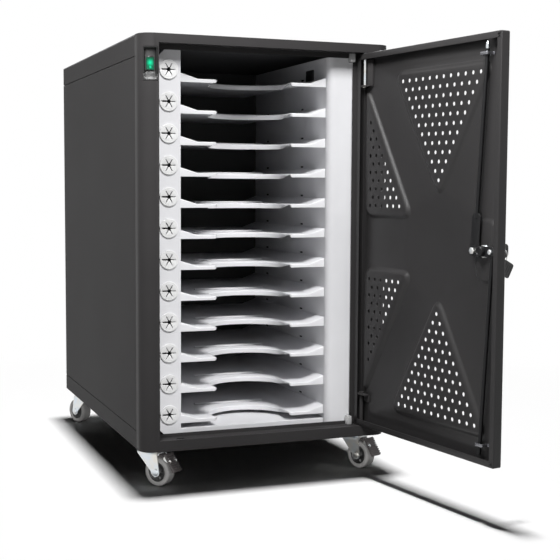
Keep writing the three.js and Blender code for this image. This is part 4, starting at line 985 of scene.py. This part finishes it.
    def hinges(self):
        """Turned pins, each with a bracket: a wall beside the door's edge and an ear with a hole for the pin."""
        for sign, name, coat, tall in ((1, "upper", "polished", 48.0), (-1, "lower", "charcoal", 16.0)):
            node = name + "_hinge_pin"
            low, high = node_box(node)
            tail, head = (low[2], high[2])[::sign]
            pin = [[0, head], [2.6, head], [3.5, head - sign], [3.5, tail + sign * 1.5], [4.9, tail + sign * 1.4]]
            pin = Shape().lathe([*pin, [5.0, tail + sign * 0.4], [4.4, tail], [0, tail]], "z", 28)
            piece(node + "_steel", pin.moved(on_door), "door", coat, [node], "bright_zinc")
            ear, wall = (sorted((tail + sign * 2.0, tail + sign * reach)) for reach in (4.0, tall))
            bracket = Shape().box((-20, -5.2, wall[0]), (-4.6, -1.5, wall[1]), 0.6)
            bracket.plate(round_box(-20, 7, -5.2, 7, 2, 3), circle(3.95, 20), *ear, "z")
            piece(name + "_hinge_bracket", bracket.moved(on_door), "door", "charcoal")


class CART_OT_lock(bpy.types.Operator):
    """Makes the lock: cylinder, cam, rods with their guides, key, ring and spare key"""

    bl_idname = "cart.lock"
    bl_label = "Rod lock"

    def execute(self, context):
        self.barrel()
        self.cam()
        for sign, name in ((1, "upper"), (-1, "lower")):
            self.rod(sign, name)
            self.guide(sign, name)
        self.keys()
        return {"FINISHED"}

    def barrel(self):
        """A rosette outside and a threaded sleeve inside: one profile turned about the lock's axis."""
        face, sleeve = -8.5, 3.5
        rosette = [[6.55, face], [13.6, face], [14.8, face + 0.8], [15, face + 2], [15, -4.5], [9.5, -4.5]]
        t = np.linspace(0, 1, 15)
        thread = pairs(9.35 + 0.15 * np.cos(t * 14 * np.pi), -4.4 + (sleeve + 4.0) * t)
        profile = np.concatenate([rosette, thread, [[9.0, sleeve], [6.55, sleeve], [6.55, face]]])
        shape = Shape().lathe(profile, "y", 36).moved(at_lock)
        piece("lock_cylinder", shape, "door", "zinc", ["lock_barrel"])

    def cam(self):
        """A flat bar with round ends and a turned plug, three hexagon heads, two of them on bolts, and a turned cap."""
        t = np.linspace(-np.pi / 2, np.pi / 2, 13)
        end = pairs(CAM_ARM + 8 * np.cos(t), 8 * np.sin(t))
        bar = Shape().slab(np.concatenate([end, -end]), 4.0, 6.5, "y", 0.5)
        bar.lathe([[0, -8.4], [5.4, -8.4], [6.0, -7.8], [6.0, 4.2]], "y", 28)
        piece("lock_cam_bar", bar.moved(at_lock), "lock", "rod", ["lock_cam"])
        heads = Shape()
        for x, reach in ((-CAM_ARM, 4.2), (CAM_ARM, 5.6), (CAM_ARM - 13, 4.6)):
            heads.slab(circle(reach, 6, (x, 0)), 6.4, 9.8, "y", 0.7)
        for x in (-CAM_ARM, CAM_ARM):
            heads.lathe([[0, 0.6], [2.3, 0.6], [2.4, 0.9], [2.4, 6.5]], "y", 18, (x, 0, 0))
        piece("lock_cam_bolts", heads.moved(at_lock), "lock", "zinc")
        cap = [[8.2, 6.4], [8.2, 11.6], [7.4, 12.6], [5.0, 12.8], [4.4, 12.0], [0, 12.0]]
        piece("lock_cam_cap", Shape().lathe(cap, "y", 32).moved(at_lock), "lock", "rod")

    def rod(self, sign, name):
        """A round rod with a pointed tip and a flat end that hangs on the cam's bolt, leaning to its guide."""
        c, s = math.cos(ROD_LEAN), math.sin(ROD_LEAN)
        lean = np.array([[c, 0, -s], [0, 1, 0], [s, 0, c]])
        tip = (DOOR_HALF - 12) / c
        reach, wide = (58.0, 10.0) if sign > 0 else (14.0, 6.5)

        def hung(points):
            return at_lock(np.asarray(points) @ lean.T + [sign * CAM_ARM, ROD_DEPTH, 0])

        def round_bar(shape, heights, radii):
            return shape.tube([[0, 0, sign * z] for z in heights], radii, 18, (1, 0, 0)).moved(hung)

        t = np.linspace(0, np.pi, 13)
        eye = pairs(wide * np.cos(t), -6.0 * np.sin(t))
        shoulder = [[-wide, reach - 5], [-wide + 5, reach], [wide - 5, reach], [wide, reach - 5]]
        outline = (np.concatenate([eye, shoulder]) * [1, sign])[::-sign]
        flat_end = Shape().slab(outline, -1.4, 1.4, "y", 0.4)
        steel = round_bar(flat_end, (reach - 8, tip - 6, tip - 2, tip - 0.5, tip), [3.2, 3.2, 2.6, 1.6, 0.6])
        heights = (tip - 11, tip - 10.4, tip - 6, tip - 2, tip - 0.4, tip + 0.1)
        point = round_bar(Shape(), heights, [3.2, 3.3, 3.3, 2.7, 1.8, 0.6])
        bright = "polished" if sign > 0 else "rod"
        piece(name + "_rod_tip", point, name + "_rod", bright, slot="dark_steel")
        node = name + "_lock_rod"
        piece(node + "_steel", steel, name + "_rod", "rod", [node])

    def guide(self, sign, name):
        """A strip bent over the rod: foot, wall, bridge, wall and foot as one rounded path, carried along z."""
        foot, top = SKIN + 3.2, 7.2
        path = [[-12, foot], [-7.6, foot], [-7.6, top], [7.6, top], [7.6, foot], [12, foot]]
        path = rounded(path, 1.6, 4) + [sign * GUIDE_X, 0]
        strip = Shape().grid(np.stack([spread(path, sign * GUIDE_Z + dz, "z") for dz in (-2.4, 2.4)]))
        piece(name + "_rod_guide", strip.moved(at_lock), "door", "guide", sheet=1.2, bevel=0.25)

    def keys(self):
        """The key in the lock, a wire ring through its bow and a spare key that hangs from the ring."""
        bow = Shape().plate(round_box(-45, -16.5, -11, 11, 7, 5), circle(3.0, 18, (-39, 0)), -1.7, 1.7, "x")
        for y in np.arange(-34, -19, 3.0):
            for x in (-1.9, 1.9):
                bow.box((x - 0.3, y - 0.6, -7), (x + 0.3, y + 0.6, 7), 0.25)
        piece("key_bow", bow.moved(at_lock), "lock", "black_plastic", ["key"], bevel=0.4)
        blade = Shape().box((-1.1, -17, -3.4), (1.1, -2.7, 3.4), 0.3)
        piece("key_blade", blade.moved(at_lock), "lock", "polished")

        radius = size("ring") / 2
        t = np.linspace(0, 2 * np.pi, 41)[:-1]
        ring = radius * np.stack([0.25 * np.sin(t), 0.3 * np.sin(t), np.cos(t)], 1) + [0, -39, 1.6 - radius]
        wire = Shape().tube(ring, 0.7, 10, (0.2, 0.9, 0.1), closed=True)
        piece("key_ring", wire.moved(at_lock), "lock", "polished")
        c, s = math.cos(math.radians(28)), math.sin(math.radians(28))

        def hung(outline):
            return outline @ np.array([[c, s], [-s, c]]) + [-46, 2.6 - 2 * radius]

        spare = Shape().slab(hung(round_box(-10.5, 10.5, -25, -1, 4, 4)), -4.6, -1.6, "x", 0.8)
        for k in np.arange(-8, 9, 4.0):
            spare.slab(hung(rectangle(k - 0.6, k + 0.6, -21, -5)), -4.9, -1.3, "x", 0.2)
        piece("spare_key", spare.moved(at_lock), "lock", "black_plastic")


class CART_OT_casters(bpy.types.Operator):
    """Makes the swivel casters: plates with bolts, pressed forks, wheels and ribbed brake pedals"""

    bl_idname = "cart.casters"
    bl_label = "Casters"

    def execute(self, context):
        for name in CASTERS:
            place, swivel, wheel, pedal = on_caster(name), name + "_swivel", name + "_wheel", name + "_pedal"
            made = [self.plate(name + "_caster_plate")]

            def add(ending, shape, *details, **more):
                made.append(piece(name + ending, shape.moved(place), *details, **more))

            add("_fork_pressing", self.fork(), swivel, "zinc", [name + "_caster_fork"], sheet=2.0, crease=45)
            add("_swivel_head", self.head(), swivel, "zinc")
            tyre, hub = self.wheel()
            add("_tyre", tyre, wheel, "tyre", [name + "_caster_wheel"])
            add("_hub", hub, wheel, "hub_plastic")
            if name.startswith("front"):
                pad, lever = self.pedal()
                add("_brake_pedal_moulding", pad, pedal, "pedal_plastic", [name + "_brake_pedal"])
                add("_brake_pedal_lever", lever, pedal, "zinc")
            add_to(CASTERS_LIT, made)
        return {"FINISHED"}

    def plate(self, node):
        low, high = node_box(node)
        shape = Shape().slab(round_box(low[0], high[0], low[1], high[1], 8, 5), low[2], high[2], "z", 0.5)
        for x in (low[0] + 9, high[0] - 9):
            for y in (low[1] + 9, high[1] - 9):
                shape.slab(circle(4.6, 6, (x, y)), low[2] - 3.2, low[2] + 0.2, "z", 0.5)
        return piece(node + "_steel", shape, "cabinet", "zinc", [node])

    def fork(self):
        """A pressed arch: the path runs up one cheek, over the crown and down the other. At each height the strip
        reaches from x0 to x1, straight sides that end in a circle round the axle."""
        arch = rounded([[-CHEEK, FORK_FOOT], [-CHEEK, CROWN], [CHEEK, CROWN], [CHEEK, FORK_FOOT]], 5, 5)
        low = np.linspace(FORK_FOOT, CROWN - 5, 16)
        path = np.concatenate([pairs(-CHEEK, low), arch[1:-1], pairs(CHEEK, low[::-1])])
        y, z = path[:, :1], path[:, 1:]
        eye = np.sqrt(np.clip(8.5**2 - (z - AXLE_Z) ** 2, 0, None))
        share = np.clip((z - AXLE_Z) / (CROWN - AXLE_Z), 0, 1)
        x0 = np.where(z < AXLE_Z, AXLE_X - eye, 11.5 - 32.5 * share)
        x1 = np.where(z < AXLE_Z, AXLE_X + eye, 28.5 - 5.5 * share)
        v = np.linspace(0, 1, 7)
        return Shape().grid(np.stack(np.broadcast_arrays(x0 * (1 - v) + x1 * v, y, z), -1))

    def head(self):
        """The ball race above the crown and the axle rivet, both turned."""
        race = [[0, 58.0], [17, 58.0], [20, 59.2], [20.6, 61], [19.6, 62.4], [20.4, 63.4], [20.4, 65.4], [19, 66.4]]
        half = np.array([[4.0, 13.9], [6.2, 14.0], [5.6, 15.2], [3.5, 16.0], [0, 16.2]])
        rivet = np.concatenate([(half * [1, -1])[::-1], half])
        return Shape().lathe([*race, [0, 66.4]], "z", 40).lathe(rivet, "y", 24, AXLE)

    def wheel(self):
        """Tyre and hub turned about the axle. Five spokes rise from the hub's web, by a bell curve of the radius
        times a smooth step of cos(5 a)."""
        t = np.linspace(0, np.pi / 2, 6)
        shoulder = pairs(21 + 4 * np.sin(t), -11 + 4 * (1 - np.cos(t)))
        half = np.concatenate([[[17, -9.6], [18.5, -10.8]], shoulder, [[25, -1]]])
        profile = np.concatenate([half, [[24.8, 0]], (half * [1, -1])[::-1], half[:1]])
        tyre = Shape().lathe(profile, "y", 56, AXLE)
        a = np.linspace(0, 2 * np.pi, 61)[:-1]
        radius = np.array([4.5, 7.0, 7.4, 9.0, 11.5, 14.0, 15.6, 16.0, 17.0])[:, None]
        side = np.array([-10.4, -10.4, -9.6, -7.4, -6.8, -7.4, -9.4, -10.0, -9.8])[:, None]
        spoke = -2.6 * np.exp(-(((radius - 11.5) / 3.2) ** 2)) * smooth((np.cos(5 * a) - 0.35) / 0.4)
        web = np.stack([radius * np.cos(a), side + spoke, radius * np.sin(a)], -1)
        both = np.concatenate([web, (web * [1, -1, 1])[::-1], web[:1]]) + AXLE
        return tyre, Shape().grid(both, (False, True))

    def pedal(self):
        """An arm over the tyre, a steep ribbed pad, and the lever's two cheeks with a rivet. Each is a side view
        turned about the axle and carried across. The pad's outline has square ribs on its outer face."""
        arm = rectangle(-10.5, 17.0, 25.8, 29.8)
        pad = [[-17.0, 30.2], [18.0, 30.2], [18.0, 34.0]]
        for x in np.arange(15.9, -17.0, -4.2):
            pad += [[x + 1.0, 34.0], [x + 1.0, 35.5], [x - 1.0, 35.5], [x - 1.0, 34.0]]
        pad = np.array([*pad, [-17.0, 34.0]])
        cheek = round_box(1.0, 17.5, 26.0, 33.5, 3, 4)

        def turned(outline, slope):
            c, s = math.cos(math.radians(slope)), math.sin(math.radians(slope))
            return outline @ np.array([[c, -s], [s, c]]) + [AXLE_X, AXLE_Z]

        moulding = Shape().slab(turned(arm, 27), -7.5, 7.5, "y", 0.35, 2)
        moulding.slab(turned(pad, 56), -10.9, 10.9, "y", 0.35, 2)
        lever = Shape()
        rivet = turned(np.array([13.0, 29.8]), 27)
        for side in (-1, 1):
            lever.slab(turned(cheek, 27), *sorted((side * 7.4, side * 9.0)), "y", 0.3)
            dome = np.array([[2.8, 8.8], [2.6, 9.8], [1.6, 10.4], [0, 10.6]]) * [1, side]
            lever.lathe(dome, "y", 18, (rivet[0], 0, rivet[1]))
        return moulding, lever


class CART_OT_power(bpy.types.Operator):
    """Dresses the power inlet and the power strip"""

    bl_idname = "cart.power"
    bl_label = "Power parts"

    def execute(self, context):
        for node in ("power_inlet", "power_strip"):
            eased_copy(node, "_moulding", "black_plastic", 0.5)
        return {"FINISHED"}


class CART_PT_sidebar(bpy.types.Panel):
    """Lists the cart's steps, sizes and colours"""

    bl_label = "Laptop Charging Cart"
    bl_space_type = "VIEW_3D"
    bl_region_type = "UI"
    bl_category = "Cart"

    def draw(self, context):
        for step in STEPS:
            self.layout.operator(step.bl_idname)
        for group in (context.scene.cart_sizes, context.scene.cart_colours):
            box = self.layout.box()
            for name in group.__annotations__:
                box.prop(group, name)


STEPS = (
    CART_OT_stage,
    CART_OT_panels,
    CART_OT_bays,
    CART_OT_grommets,
    CART_OT_switch,
    CART_OT_door,
    CART_OT_lock,
    CART_OT_casters,
    CART_OT_power,
)
CLASSES = (CartColours, CartSizes, *STEPS, CART_PT_sidebar)


def register():
    for item in CLASSES:
        bpy.utils.register_class(item)
    bpy.types.Scene.cart_colours = PointerProperty(type=CartColours)
    bpy.types.Scene.cart_sizes = PointerProperty(type=CartSizes)


def unregister():
    del bpy.types.Scene.cart_sizes
    del bpy.types.Scene.cart_colours
    for item in reversed(CLASSES):
        bpy.utils.unregister_class(item)


def main():
    register()
    for step in STEPS:
        getattr(bpy.ops.cart, step.bl_idname.split(".")[1])()


if __name__ == "__main__":
    main()
